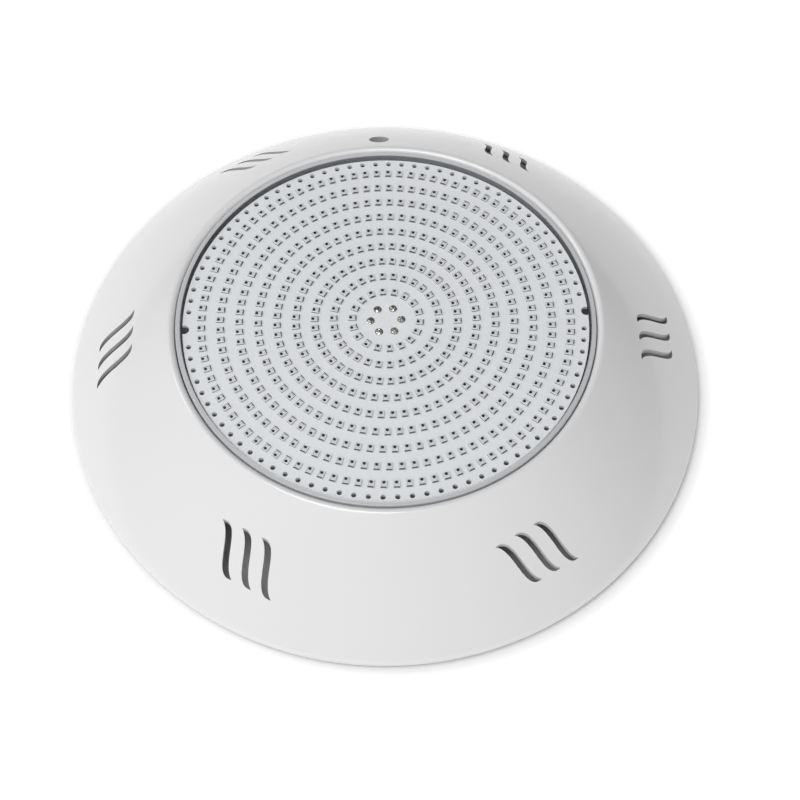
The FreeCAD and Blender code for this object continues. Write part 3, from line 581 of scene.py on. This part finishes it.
def skirt_outline():
    """The skirt's section: up the lip, down the dome, round the rim and back inside."""
    lip, lip_angle = touching_centre(LIP_RADIUS + LIP_ROUND, LIP_ROUND)
    shoulder, shoulder_angle = touching_centre(RIM_RADIUS - SHOULDER_ROUND, SHOULDER_ROUND)
    edge = (RIM_RADIUS - EDGE_ROUND, RIM_BOTTOM + EDGE_ROUND)
    inner_start = math.degrees(math.atan2(dome_height(RIM_INNER, SHELL) - DOME_CENTRE[1],
                                          RIM_INNER - DOME_CENTRE[0]))
    inner_end = math.degrees(math.atan2(dome_height(COLLAR_RADIUS, SHELL) - DOME_CENTRE[1],
                                        COLLAR_RADIUS - DOME_CENTRE[0]))
    points = [(LIP_RADIUS, SEAT_HEIGHT)]
    points += arc(lip, LIP_ROUND, 180, lip_angle, 12)
    points += arc(DOME_CENTRE, DOME_RADIUS, lip_angle, shoulder_angle, 36)[1:]
    points += arc(shoulder, SHOULDER_ROUND, shoulder_angle, 0, 8)[1:]
    points += arc(edge, EDGE_ROUND, 0, -90, 5)
    points += [(RIM_INNER, RIM_BOTTOM)]
    points += arc(DOME_CENTRE, DOME_RADIUS - SHELL, inner_start, inner_end, 24)
    points += [(COLLAR_RADIUS, COLLAR_BOTTOM), (COLLAR_BORE, COLLAR_BOTTOM),
               (COLLAR_BORE, SEAT_HEIGHT)]
    return points


skirt_shell = turned_piece("skirt", skirt_outline(), gloss_white, steps=288)
print("skirt shell", len(skirt_shell.data.polygons), "faces")

# %% [markdown]
# ### Vents, screw well, bosses and lugs
# The S-shaped slots are cut with a solid that has the slot's outline. Each outline is two cubic
# curves that share their tips. One edge leaves a tip steeply and the other at a slant, and at the
# far tip they swap, so the slot keeps its width and still ends in points. The well's tube, the
# screw bosses and the hinge lugs are solids to join on, and the bores are solids to take away.

# %% Cutters and fittings
SLOT_INNER = Vector((113.6, -7.4)) * MM
SLOT_OUTER = Vector((130.8, 5.8)) * MM
STEEP_HANDLE = Vector((-1.85, 9.3)) * MM
SLANTED_HANDLE = Vector((3.8, 6.9)) * MM
VENT_GROUPS = 6
SLOTS_IN_GROUP = 3
SLOT_PITCH = 9.5 * MM
SLOT_STEPS = 20
CUT_TOP = 60 * MM
WELL_PLACE = Vector((0, 107 * MM))
WELL_RADIUS = 4.75 * MM
WELL_TUBE_RADIUS = 6.25 * MM
WELL_TUBE_TOP = 36.5 * MM
WELL_HOLE_RADIUS = 2.9 * MM
WELL_FLOOR = 25 * MM
WELL_BOTTOM = 22 * MM
BOSS_CIRCLE = 107 * MM
BOSS_RADIUS = 3.6 * MM
BOSS_TOP = 38.4 * MM
PILOT_RADIUS = 2.0 * MM
PILOT_TOP = 38 * MM
LUG_INNER = 17 * MM
LUG_WIDTH = 4 * MM
LUG_SIDE = [(-140 * MM, 4 * MM), (-122.5 * MM, 4 * MM), (-122.5 * MM, 27.2 * MM),
            (-140 * MM, 9.2 * MM)]
PIN_LOW, PIN_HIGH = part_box("hinge_pin")
PIN_CENTRE = (PIN_LOW + PIN_HIGH) / 2
EYE_RADIUS = 2.02 * MM
EYE_LENGTH = 50 * MM


def cubic(poles, count):
    """Points on a cubic curve from its four poles."""
    points = []
    for index in range(count + 1):
        t = index / count
        weights = ((1 - t) ** 3, 3 * t * (1 - t) ** 2, 3 * t * t * (1 - t), t ** 3)
        points.append(sum((pole * weight for pole, weight in zip(poles, weights)), Vector((0, 0))))
    return points


def slot_outline():
    """The slot's closed outline, out along one edge and back along the other."""
    sides = []
    for near, far in ((SLANTED_HANDLE, STEEP_HANDLE), (STEEP_HANDLE, SLANTED_HANDLE)):
        poles = [SLOT_INNER, SLOT_INNER + near, SLOT_OUTER - far, SLOT_OUTER]
        sides.append(cubic(poles, SLOT_STEPS))
    return sides[0] + sides[1][-2:0:-1]


def prism(work, outline, low, high):
    """A closed upright solid over an outline, added to a bmesh."""
    bottom = [work.verts.new((p[0], p[1], low)) for p in outline]
    top = [work.verts.new((p[0], p[1], high)) for p in outline]
    work.faces.new(bottom[::-1])
    work.faces.new(top)
    for index in range(len(outline)):
        after = (index + 1) % len(outline)
        work.faces.new((bottom[index], bottom[after], top[after], top[index]))


def disc(centre, radius, count=48):
    """Points round a circle."""
    return [(centre[0] + radius * math.cos(2 * math.pi * k / count),
             centre[1] + radius * math.sin(2 * math.pi * k / count)) for k in range(count)]


def mesh_from(name, fill):
    """A mesh made by a function that adds to a bmesh, with outward faces."""
    work = bmesh.new()
    fill(work)
    bmesh.ops.recalc_face_normals(work, faces=work.faces)
    mesh = bpy.data.meshes.new(name)
    work.to_mesh(mesh)
    work.free()
    return mesh


def around(radius, count, start=0.0):
    """Places round the axis."""
    return [(radius * math.cos(start + 2 * math.pi * k / count),
             radius * math.sin(start + 2 * math.pi * k / count)) for k in range(count)]


def add_lug(work, left):
    """A rib inside the skirt, drawn in side view and widened along X."""
    walls = [[work.verts.new((left + shift, y, z)) for y, z in LUG_SIDE]
             for shift in (0, LUG_WIDTH)]
    work.faces.new(walls[0])
    work.faces.new(walls[1][::-1])
    for index in range(4):
        after = (index + 1) % 4
        work.faces.new((walls[0][index], walls[0][after], walls[1][after], walls[1][index]))


def fill_fittings(work):
    """The well's tube, the screw bosses and the two lugs."""
    prism(work, disc(WELL_PLACE, WELL_TUBE_RADIUS), WELL_BOTTOM, WELL_TUBE_TOP)
    for place in around(BOSS_CIRCLE, VENT_GROUPS):
        prism(work, disc(place, BOSS_RADIUS), COLLAR_BOTTOM, BOSS_TOP)
    add_lug(work, LUG_INNER)
    add_lug(work, -LUG_INNER - LUG_WIDTH)


def fill_drills(work):
    """The well and its screw hole, the pilot holes, and the hinge pin's eyes."""
    prism(work, disc(WELL_PLACE, WELL_RADIUS, 64), WELL_FLOOR, CUT_TOP)
    prism(work, disc(WELL_PLACE, WELL_HOLE_RADIUS), WELL_BOTTOM - MM, WELL_FLOOR + MM)
    for place in around(BOSS_CIRCLE, VENT_GROUPS):
        prism(work, disc(place, PILOT_RADIUS, 24), COLLAR_BOTTOM - MM, PILOT_TOP)
    eye = bmesh.ops.create_cone(work, cap_ends=True, segments=32, radius1=EYE_RADIUS,
                                radius2=EYE_RADIUS, depth=EYE_LENGTH)
    turn = Matrix.Translation(PIN_CENTRE) @ Matrix.Rotation(math.pi / 2, 4, "Y")
    bmesh.ops.transform(work, matrix=turn, verts=eye["verts"])


fittings = hidden_object("fittings", mesh_from("fittings", fill_fittings))
drills = hidden_object("drills", mesh_from("drills", fill_drills))
slot_solid = hidden_object("slot_solid", mesh_from(
    "slot_solid", lambda work: prism(work, slot_outline(), 8 * MM, CUT_TOP)))
print("slot cutter", len(slot_solid.data.polygons), "faces")

# %% [markdown]
# ### Joining and cutting
# A tree repeats the slot's solid in six groups of three. It joins the fittings to the shell, then
# takes away the bores and the slots, each with an exact Mesh Boolean. Doing it in one tree keeps
# every size an input, and the result is one closed moulding.

# %% Tree that joins, drills and cuts the vents


def skirt_tree():
    tree, given, result = new_tree("vented_skirt", [
        ("Fittings", "Object"), ("Drills", "Object"), ("Slot", "Object"), ("Groups", "Int"),
        ("Slots", "Int"), ("Pitch", "Float"), ("Material", "Material")])
    total = maths(tree, "MULTIPLY", given.outputs["Groups"], given.outputs["Slots"])
    points = add(tree, "GeometryNodePoints", {"Count": total})
    index = add(tree, "GeometryNodeInputIndex").outputs[0]
    group = maths(tree, "FLOOR", maths(tree, "DIVIDE", index, given.outputs["Slots"]))
    within = maths(tree, "MODULO", index, given.outputs["Slots"])
    middle = maths(tree, "DIVIDE", maths(tree, "SUBTRACT", given.outputs["Slots"], 1), 2)
    shift = maths(tree, "MULTIPLY", maths(tree, "SUBTRACT", within, middle),
                  given.outputs["Pitch"])
    sector = maths(tree, "DIVIDE", 2 * math.pi, given.outputs["Groups"])
    angle = maths(tree, "MULTIPLY", group, sector)
    turn = add(tree, "ShaderNodeCombineXYZ", {"Z": angle})
    sideways = maths(tree, "MULTIPLY", maths(tree, "SINE", angle), -1.0)
    place = add(tree, "ShaderNodeCombineXYZ", {
        "X": maths(tree, "MULTIPLY", sideways, shift),
        "Y": maths(tree, "MULTIPLY", maths(tree, "COSINE", angle), shift)})
    points = add(tree, "GeometryNodeSetPosition", {"Geometry": points.outputs[0],
                                                   "Position": place.outputs[0]})
    parts = {}
    for label in ("Fittings", "Drills", "Slot"):
        parts[label] = add(tree, "GeometryNodeObjectInfo", {"Object": given.outputs[label]})
    slots = add(tree, "GeometryNodeInstanceOnPoints", {
        "Points": points.outputs[0], "Instance": parts["Slot"].outputs["Geometry"],
        "Rotation": turn.outputs[0]})
    cutters = add(tree, "GeometryNodeRealizeInstances", {"Geometry": slots.outputs[0]})
    union = add(tree, "GeometryNodeMeshBoolean", operation="UNION", solver="EXACT")
    union.inputs["Self Intersection"].default_value = True
    tree.links.new(given.outputs["Geometry"], union.inputs["Mesh 2"])
    tree.links.new(parts["Fittings"].outputs["Geometry"], union.inputs["Mesh 2"])
    cut = add(tree, "GeometryNodeMeshBoolean", operation="DIFFERENCE", solver="EXACT")
    cut.inputs["Self Intersection"].default_value = True
    tree.links.new(union.outputs[0], cut.inputs["Mesh 1"])
    tree.links.new(parts["Drills"].outputs["Geometry"], cut.inputs["Mesh 2"])
    tree.links.new(cutters.outputs[0], cut.inputs["Mesh 2"])
    coloured = add(tree, "GeometryNodeSetMaterial", {"Geometry": cut.outputs[0],
                                                     "Material": given.outputs["Material"]})
    tree.links.new(coloured.outputs[0], result.inputs[0])
    return tree


def one_material(piece, material):
    """Leaves the piece one material slot, with every face on it."""
    piece.data.materials.clear()
    piece.data.materials.append(material)
    piece.data.polygons.foreach_set("material_index", [0] * len(piece.data.polygons))


skirt = baked("face_ring_moulding", skirt_tree(), {
    "Fittings": fittings, "Drills": drills, "Slot": slot_solid, "Groups": VENT_GROUPS,
    "Slots": SLOTS_IN_GROUP, "Pitch": SLOT_PITCH, "Material": gloss_white}, skirt_shell.data)
bpy.data.objects.remove(skirt_shell)
tidy_mesh(skirt.data)
one_material(skirt, gloss_white)
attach(skirt, "lamp")
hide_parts("face_ring")
print("skirt", len(skirt.data.polygons), "faces")

# %% [markdown]
# ## The clear cover and its seal
# The cover is a shallow dish turned upside down over the board: a flat window, a short side wall
# and a flange that the casing clamps. Its outer edge is rounded, which is the fine bright line
# between the board and the lip. The seal is a plain soft ring with rounded edges.

# %% Cover and seal
WINDOW = 1.5 * MM
COVER_ROUND = 0.5 * MM
FLANGE_RADIUS = lens_high.x
INNER_ROUND = 0.8 * MM
SEAL_BORE = 94 * MM
SEAL_ROUND = 0.35 * MM


def cover_outline():
    """The dish's section, from the axis under the window, out to the flange and back over."""
    under = lens_high.z - WINDOW
    inside = COVER_RADIUS - COVER_WALL
    rounding = (COVER_RADIUS - COVER_ROUND, lens_high.z - COVER_ROUND)
    hollow = (inside - INNER_ROUND, under - INNER_ROUND)
    points = [(0, under)]
    points += arc(hollow, INNER_ROUND, 90, 0, 5)
    points += [(inside, lens_low.z), (FLANGE_RADIUS, lens_low.z), (FLANGE_RADIUS, SEAT_HEIGHT),
               (COVER_RADIUS, SEAT_HEIGHT)]
    points += arc(rounding, COVER_ROUND, 0, 90, 6)
    return points + [(0, lens_high.z)]


cover = turned_piece("clear_cover", cover_outline(), clear, steps=288, closed=False)
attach(cover, "lamp")
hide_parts("lens")

seal_low, seal_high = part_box("lens_gasket")


def ring_outline(inner, outer, low, high, rounding):
    """A rectangular section with rounded corners."""
    corners = (((outer - rounding, high - rounding), 90, 0),
               ((outer - rounding, low + rounding), 0, -90),
               ((inner + rounding, low + rounding), -90, -180),
               ((inner + rounding, high - rounding), 180, 90))
    points = []
    for centre, first, last in corners:
        points += arc(centre, rounding, first, last, 4)
    return points


seal_section = ring_outline(SEAL_BORE, seal_high.x, seal_low.z, seal_high.z, SEAL_ROUND)
seal = turned_piece("cover_seal", seal_section, silicone, steps=192)
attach(seal, "lamp")
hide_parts("lens_gasket")
print("cover and seal", len(cover.data.polygons), len(seal.data.polygons), "faces")

# %% [markdown]
# ## The LEDs
# Each LED is a small white package with a shallow gel window. A dark die sits near one end of the
# window: partly the LED's own die, partly painted shade of the cup's shadowed wall, which is why
# it is off-centre and ends up towards the light. A dark bar at the other end of the package is
# painted shadow of its shaded end, and the dark grey walls of the package and window are painted
# shade that outlines it. It is modelled once, with few faces because it is used 531 times, and a
# number on each face says which finish it takes.

# %% One LED package
# Finish numbers. The side finish is painted shade, and the die finish also paints the shadow bar.
PACKAGE, SIDE_SHADE, GEL, DIE_AND_SHADE = range(4)
BOARD_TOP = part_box("led_board")[1].z
LED_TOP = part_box("led_ring_1")[1].z
WINDOW_DEPTH = 0.2 * MM
# The die sits off-centre towards one end: partly the real die, partly painted shade of the cup's
# shadowed wall on the light's side.
DIE_SHIFT = 0.7 * MM
DIE_RADIUS = 0.7 * MM
DIE_SIDES = 8
DIE_SINK = 0.4 * MM
DIE_TOP = 0.06 * MM
# The dark bar is painted shadow, with a painted dark reflection of the terminal, at the package's
# shaded end.
BAR_NEAR = 1.36 * MM
BAR_FAR = 1.74 * MM
BAR_HALF = 1.22 * MM
BAR_FOOT = 0.1 * MM
BAR_PROUD = 0.01 * MM
CHAMFER = 0.1 * MM
WINDOW_MOUTH = (-1.35 * MM, 1.1 * MM, 0.98 * MM)
WINDOW_FLOOR = (-1.25 * MM, 1.0 * MM, 0.88 * MM)


def loop_at(work, corners, z):
    """A loop of points at one height."""
    return [work.verts.new((x, y, z)) for x, y in corners]


def band(work, mark, lower, upper, finish):
    """Faces between two loops of points."""
    for index in range(len(lower)):
        after = (index + 1) % len(lower)
        face = work.faces.new((lower[index], lower[after], upper[after], upper[index]))
        face[mark] = finish


def rectangle(left, right, half_width):
    """Corners of a rectangle centred across the package."""
    return [(left, -half_width), (right, -half_width), (right, half_width), (left, half_width)]


def fill_led(work):
    """The package with painted-shade walls, its window, the die and the painted-shadow bar, with a
    finish number on each face.
    """
    mark = work.faces.layers.int.new("finish")
    long, wide = LED_LENGTH / 2, LED_WIDTH / 2
    foot = loop_at(work, rectangle(-long, long, wide), BOARD_TOP)
    shoulder = loop_at(work, rectangle(-long, long, wide), LED_TOP - CHAMFER)
    top = loop_at(work, rectangle(CHAMFER - long, long - CHAMFER, wide - CHAMFER), LED_TOP)
    mouth = loop_at(work, rectangle(*WINDOW_MOUTH), LED_TOP)
    bottom = loop_at(work, rectangle(*WINDOW_FLOOR), LED_TOP - WINDOW_DEPTH)
    # Side walls and window walls take the dark side finish, painted shade that outlines the
    # package.
    work.faces.new(foot[::-1])[mark] = SIDE_SHADE
    band(work, mark, foot, shoulder, SIDE_SHADE)
    band(work, mark, shoulder, top, PACKAGE)
    band(work, mark, top, mouth, PACKAGE)
    band(work, mark, mouth, bottom, SIDE_SHADE)
    work.faces.new(bottom)[mark] = GEL
    # The dark die, off-centre: partly the real die, partly painted shade.
    dot = [(x - DIE_SHIFT, y) for x, y in disc((0, 0), DIE_RADIUS, DIE_SIDES)]
    low = loop_at(work, dot, LED_TOP - DIE_SINK)
    high = loop_at(work, dot, LED_TOP - DIE_TOP)
    # The dark bar: painted shadow at the package's end away from the light.
    shadow_bar = rectangle(BAR_NEAR, BAR_FAR, BAR_HALF)
    shadow_bar_low = loop_at(work, shadow_bar, BOARD_TOP + BAR_FOOT)
    shadow_bar_high = loop_at(work, shadow_bar, LED_TOP + BAR_PROUD)
    for lower, upper in ((low, high), (shadow_bar_low, shadow_bar_high)):
        band(work, mark, lower, upper, DIE_AND_SHADE)
        work.faces.new(upper)[mark] = DIE_AND_SHADE
        work.faces.new(lower[::-1])[mark] = DIE_AND_SHADE


led_object = hidden_object("led_package", mesh_from("led_package", fill_led))
print("one LED", len(led_object.data.polygons), "faces")

# %% [markdown]
# ### Rings of LEDs
# A tree places the package round a ring, long side towards the centre, and turns it by a small
# random angle as a placing machine does. On the half of the board towards the light the package
# stands the other way round, so the dark die, painted shade, always sits towards the light and the
# dark bar, painted shadow, away from it. The tree works that out from the angle.

# %% Tree for a ring of LEDs
# The side the key light comes from. LEDs on that half are turned round, so the dark die sits
# towards the light as painted shade and the dark bar away from it as painted shadow.
LIGHT_SIDE_AXIS = math.radians(150)
PLACING_ERROR = 0.05


def ring_tree():
    tree, given, result = new_tree("led_ring", [
        ("Package", "Object"), ("Count", "Int"), ("Radius", "Float"), ("First angle", "Float"),
        ("Light side axis", "Float"), ("Seed", "Int"), ("Package finish", "Material"),
        ("Side shade finish", "Material"), ("Gel finish", "Material"), ("Die and shade finish", "Material")])
    points = add(tree, "GeometryNodePoints", {"Count": given.outputs["Count"]})
    index = add(tree, "GeometryNodeInputIndex").outputs[0]
    step = maths(tree, "DIVIDE", 2 * math.pi, given.outputs["Count"])
    angle = maths(tree, "MULTIPLY_ADD", index, step, given.outputs["First angle"])
    place = add(tree, "ShaderNodeCombineXYZ", {
        "X": maths(tree, "MULTIPLY", maths(tree, "COSINE", angle), given.outputs["Radius"]),
        "Y": maths(tree, "MULTIPLY", maths(tree, "SINE", angle), given.outputs["Radius"])})
    placed = add(tree, "GeometryNodeSetPosition", {"Geometry": points.outputs[0],
                                                   "Position": place.outputs[0]})
    # LEDs on the light's half turn round: the dark die is painted shade towards the light, the bar
    # painted shadow away from it.
    from_axis = maths(tree, "SUBTRACT", angle, given.outputs["Light side axis"])
    on_light_side = maths(tree, "GREATER_THAN", maths(tree, "COSINE", from_axis), 0.0)
    facing = maths(tree, "MULTIPLY_ADD", on_light_side, math.pi, angle)
    wobble = add(tree, "FunctionNodeRandomValue", {"Seed": given.outputs["Seed"]},
                 data_type="FLOAT")
    wobble.inputs[2].default_value = -PLACING_ERROR
    wobble.inputs[3].default_value = PLACING_ERROR
    turn = add(tree, "ShaderNodeCombineXYZ", {"Z": maths(tree, "ADD", facing, wobble.outputs[1])})
    package = add(tree, "GeometryNodeObjectInfo", {"Object": given.outputs["Package"]})
    copies = add(tree, "GeometryNodeInstanceOnPoints", {
        "Points": placed.outputs[0], "Instance": package.outputs["Geometry"],
        "Rotation": turn.outputs[0]})
    last = add(tree, "GeometryNodeRealizeInstances", {"Geometry": copies.outputs[0]}).outputs[0]
    mark = add(tree, "GeometryNodeInputNamedAttribute", {"Name": "finish"}, data_type="INT")
    finishes = ("Package finish", "Side shade finish", "Gel finish", "Die and shade finish")
    for number, label in enumerate(finishes):
        same = add(tree, "FunctionNodeCompare", data_type="INT", operation="EQUAL")
        tree.links.new(mark.outputs["Attribute"], same.inputs[2])
        same.inputs[3].default_value = number
        last = add(tree, "GeometryNodeSetMaterial", {
            "Geometry": last, "Selection": same.outputs[0],
            "Material": given.outputs[label]}).outputs[0]
    tree.links.new(last, result.inputs[0])
    return tree


led_tree = ring_tree()
print("LED tree has", len(led_tree.nodes), "nodes")

# %% [markdown]
# ### Nine rings
# The rings are evenly spaced. Each one has its own number of LEDs and its own first angle, so the
# LEDs of neighbouring rings don't line up.

# %% Nine rings
LED_COUNTS = (18, 30, 42, 51, 60, 69, 78, 87, 96)
LED_FIRST_ANGLES = (14.0, 8.2, 6.0, -0.3, 1.6, 2.7, 3.8, 0.3, 1.3)
for index, (count, first) in enumerate(zip(LED_COUNTS, LED_FIRST_ANGLES)):
    node_name = f"led_ring_{index + 1}"
    ring = baked(f"leds_{index + 1}", led_tree, {
        "Package": led_object, "Count": count, "Radius": FIRST_RADIUS + index * RING_STEP,
        "First angle": math.radians(first), "Light side axis": LIGHT_SIDE_AXIS, "Seed": index,
        "Package finish": led_white, "Side shade finish": led_side_shade, "Gel finish": led_window,
        "Die and shade finish": led_die_and_shade})
    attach(ring, "lamp")
    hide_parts(node_name)
    print(node_name, count, "LEDs", len(ring.data.polygons), "faces")

# %% [markdown]
# ## Solder joints
# Hand-soldered joints are never smooth domes. Each one climbs a pin, and its skin is lumpy where
# it froze. Here each joint is a ring-by-ring mound whose radius and height wander with a noise,
# with the pin's flat end standing in the middle. The noise is read at another place for each
# joint, so all six differ.

# %% Six lumpy joints
LINK_COUNT = 6
LINK_CIRCLE = 6.8 * MM
LINK_TURN = math.radians(1.4)
MOUND_STEPS = 20
LUMP_SCALE = 1.6
NOISE_GAP = 7.0
LUMP_REACH = 0.12
TALLEST = 0.88
SOLDER_PROFILE = ((1.9, 0.0), (1.85, 0.12), (1.6, 0.36), (1.25, 0.55), (0.9, 0.68), (0.62, 0.74))
PIN_END = (0.5, 0.86)


def fill_solder(work):
    """Six closed mounds, ring by ring from the board up to the pin's end."""
    for joint, (x, y) in enumerate(around(LINK_CIRCLE, LINK_COUNT, LINK_TURN)):
        loops = []
        for radius, height in (*SOLDER_PROFILE, PIN_END):
            loop = []
            for across, along in disc((0, 0), 1, MOUND_STEPS):
                spot = Vector((across * radius, along * radius, NOISE_GAP * joint))
                lump = noise.noise(spot * LUMP_SCALE) if 0 < height < PIN_END[1] else 0.0
                reach = radius * (1 + LUMP_REACH * lump) * MM
                rise = min(height * (1 + lump), TALLEST) * MM
                loop.append(work.verts.new((x + reach * across, y + reach * along,
                                            BOARD_TOP + rise)))
            loops.append(loop)
        for lower, upper in zip(loops, loops[1:]):
            for step in range(MOUND_STEPS):
                after = (step + 1) % MOUND_STEPS
                work.faces.new((lower[step], lower[after], upper[after], upper[step]))
        work.faces.new(loops[-1])
        work.faces.new(loops[0][::-1])


joints = bpy.data.objects.new("solder_mounds", mesh_from("solder_mounds", fill_solder))
bpy.context.scene.collection.objects.link(joints)
tidy_mesh(joints.data, 50)
one_material(joints, tin)
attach(joints, "lamp")
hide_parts("solder_joints")
print("solder", len(joints.data.polygons), "faces on six joints")

# %% [markdown]
# ## Finishes on the CAD nodes
# The other pieces keep their CAD meshes, which are exact, and only take a finish. Metals and
# rubbers are grouped by what they are made of.

# %% Finishes by node
FINISHES = {
    white_mask: ("led_board",), satin_white: ("wall_bracket",), satin_grey: ("rear_casing",),
    epoxy: ("potting_resin",), steel: ("casing_screws", "hinge_pin", "lock_screw"),
    tin: ("link_pins",), brass: ("bracket_insert",), copper: ("choke",),
    black_rubber: ("lock_washer", "gland_seal", "gland_washer"), green_mask: ("driver_board",),
    black_epoxy: ("bridge_rectifier", "driver_chips"), blue_sleeve: ("storage_capacitors",),
    green_nylon: ("terminal_block",), white_nylon: ("gland_body", "gland_nut", "gland_locknut"),
}
for finish, names in FINISHES.items():
    for name in names:
        slots = nodes[name].material_slots
        if not slots:
            nodes[name].data.materials.append(finish)
        for slot in slots:
            slot.material = finish
print(sum(len(names) for names in FINISHES.values()), "CAD nodes finished")

# %% [markdown]
# ### The table
# The table is pale and plain. It glows a little all round, as a light table does, so that it stays
# white. The glow stops at the lamp's rim, because light from below would fill the vents.

# %% Table
GLOW = 0.32
GLOW_EDGE = 0.008
pale = finish_material("pale_table", (0.88, 0.88, 0.88), (0.9, 0.9, 0.9), (0.6, 0.7), patch=2)
table = pale.node_tree
table_shader = table.nodes["Principled BSDF"]
table_shader.inputs["Emission Color"].default_value = (1, 1, 1, 1)
spot = table.nodes.new("ShaderNodeTexCoord")
reach = table.nodes.new("ShaderNodeVectorMath")
reach.operation = "LENGTH"
glow = table.nodes.new("ShaderNodeMapRange")
glow.inputs["From Min"].default_value = RIM_RADIUS
glow.inputs["From Max"].default_value = RIM_RADIUS + GLOW_EDGE
glow.inputs["To Max"].default_value = GLOW
table.links.new(spot.outputs["Object"], reach.inputs[0])
table.links.new(reach.outputs["Value"], glow.inputs["Value"])
table.links.new(glow.outputs["Result"], table_shader.inputs["Emission Strength"])
floor.data.materials.append(pale)
print("table glows from", round((RIM_RADIUS + GLOW_EDGE) / MM), "mm out")
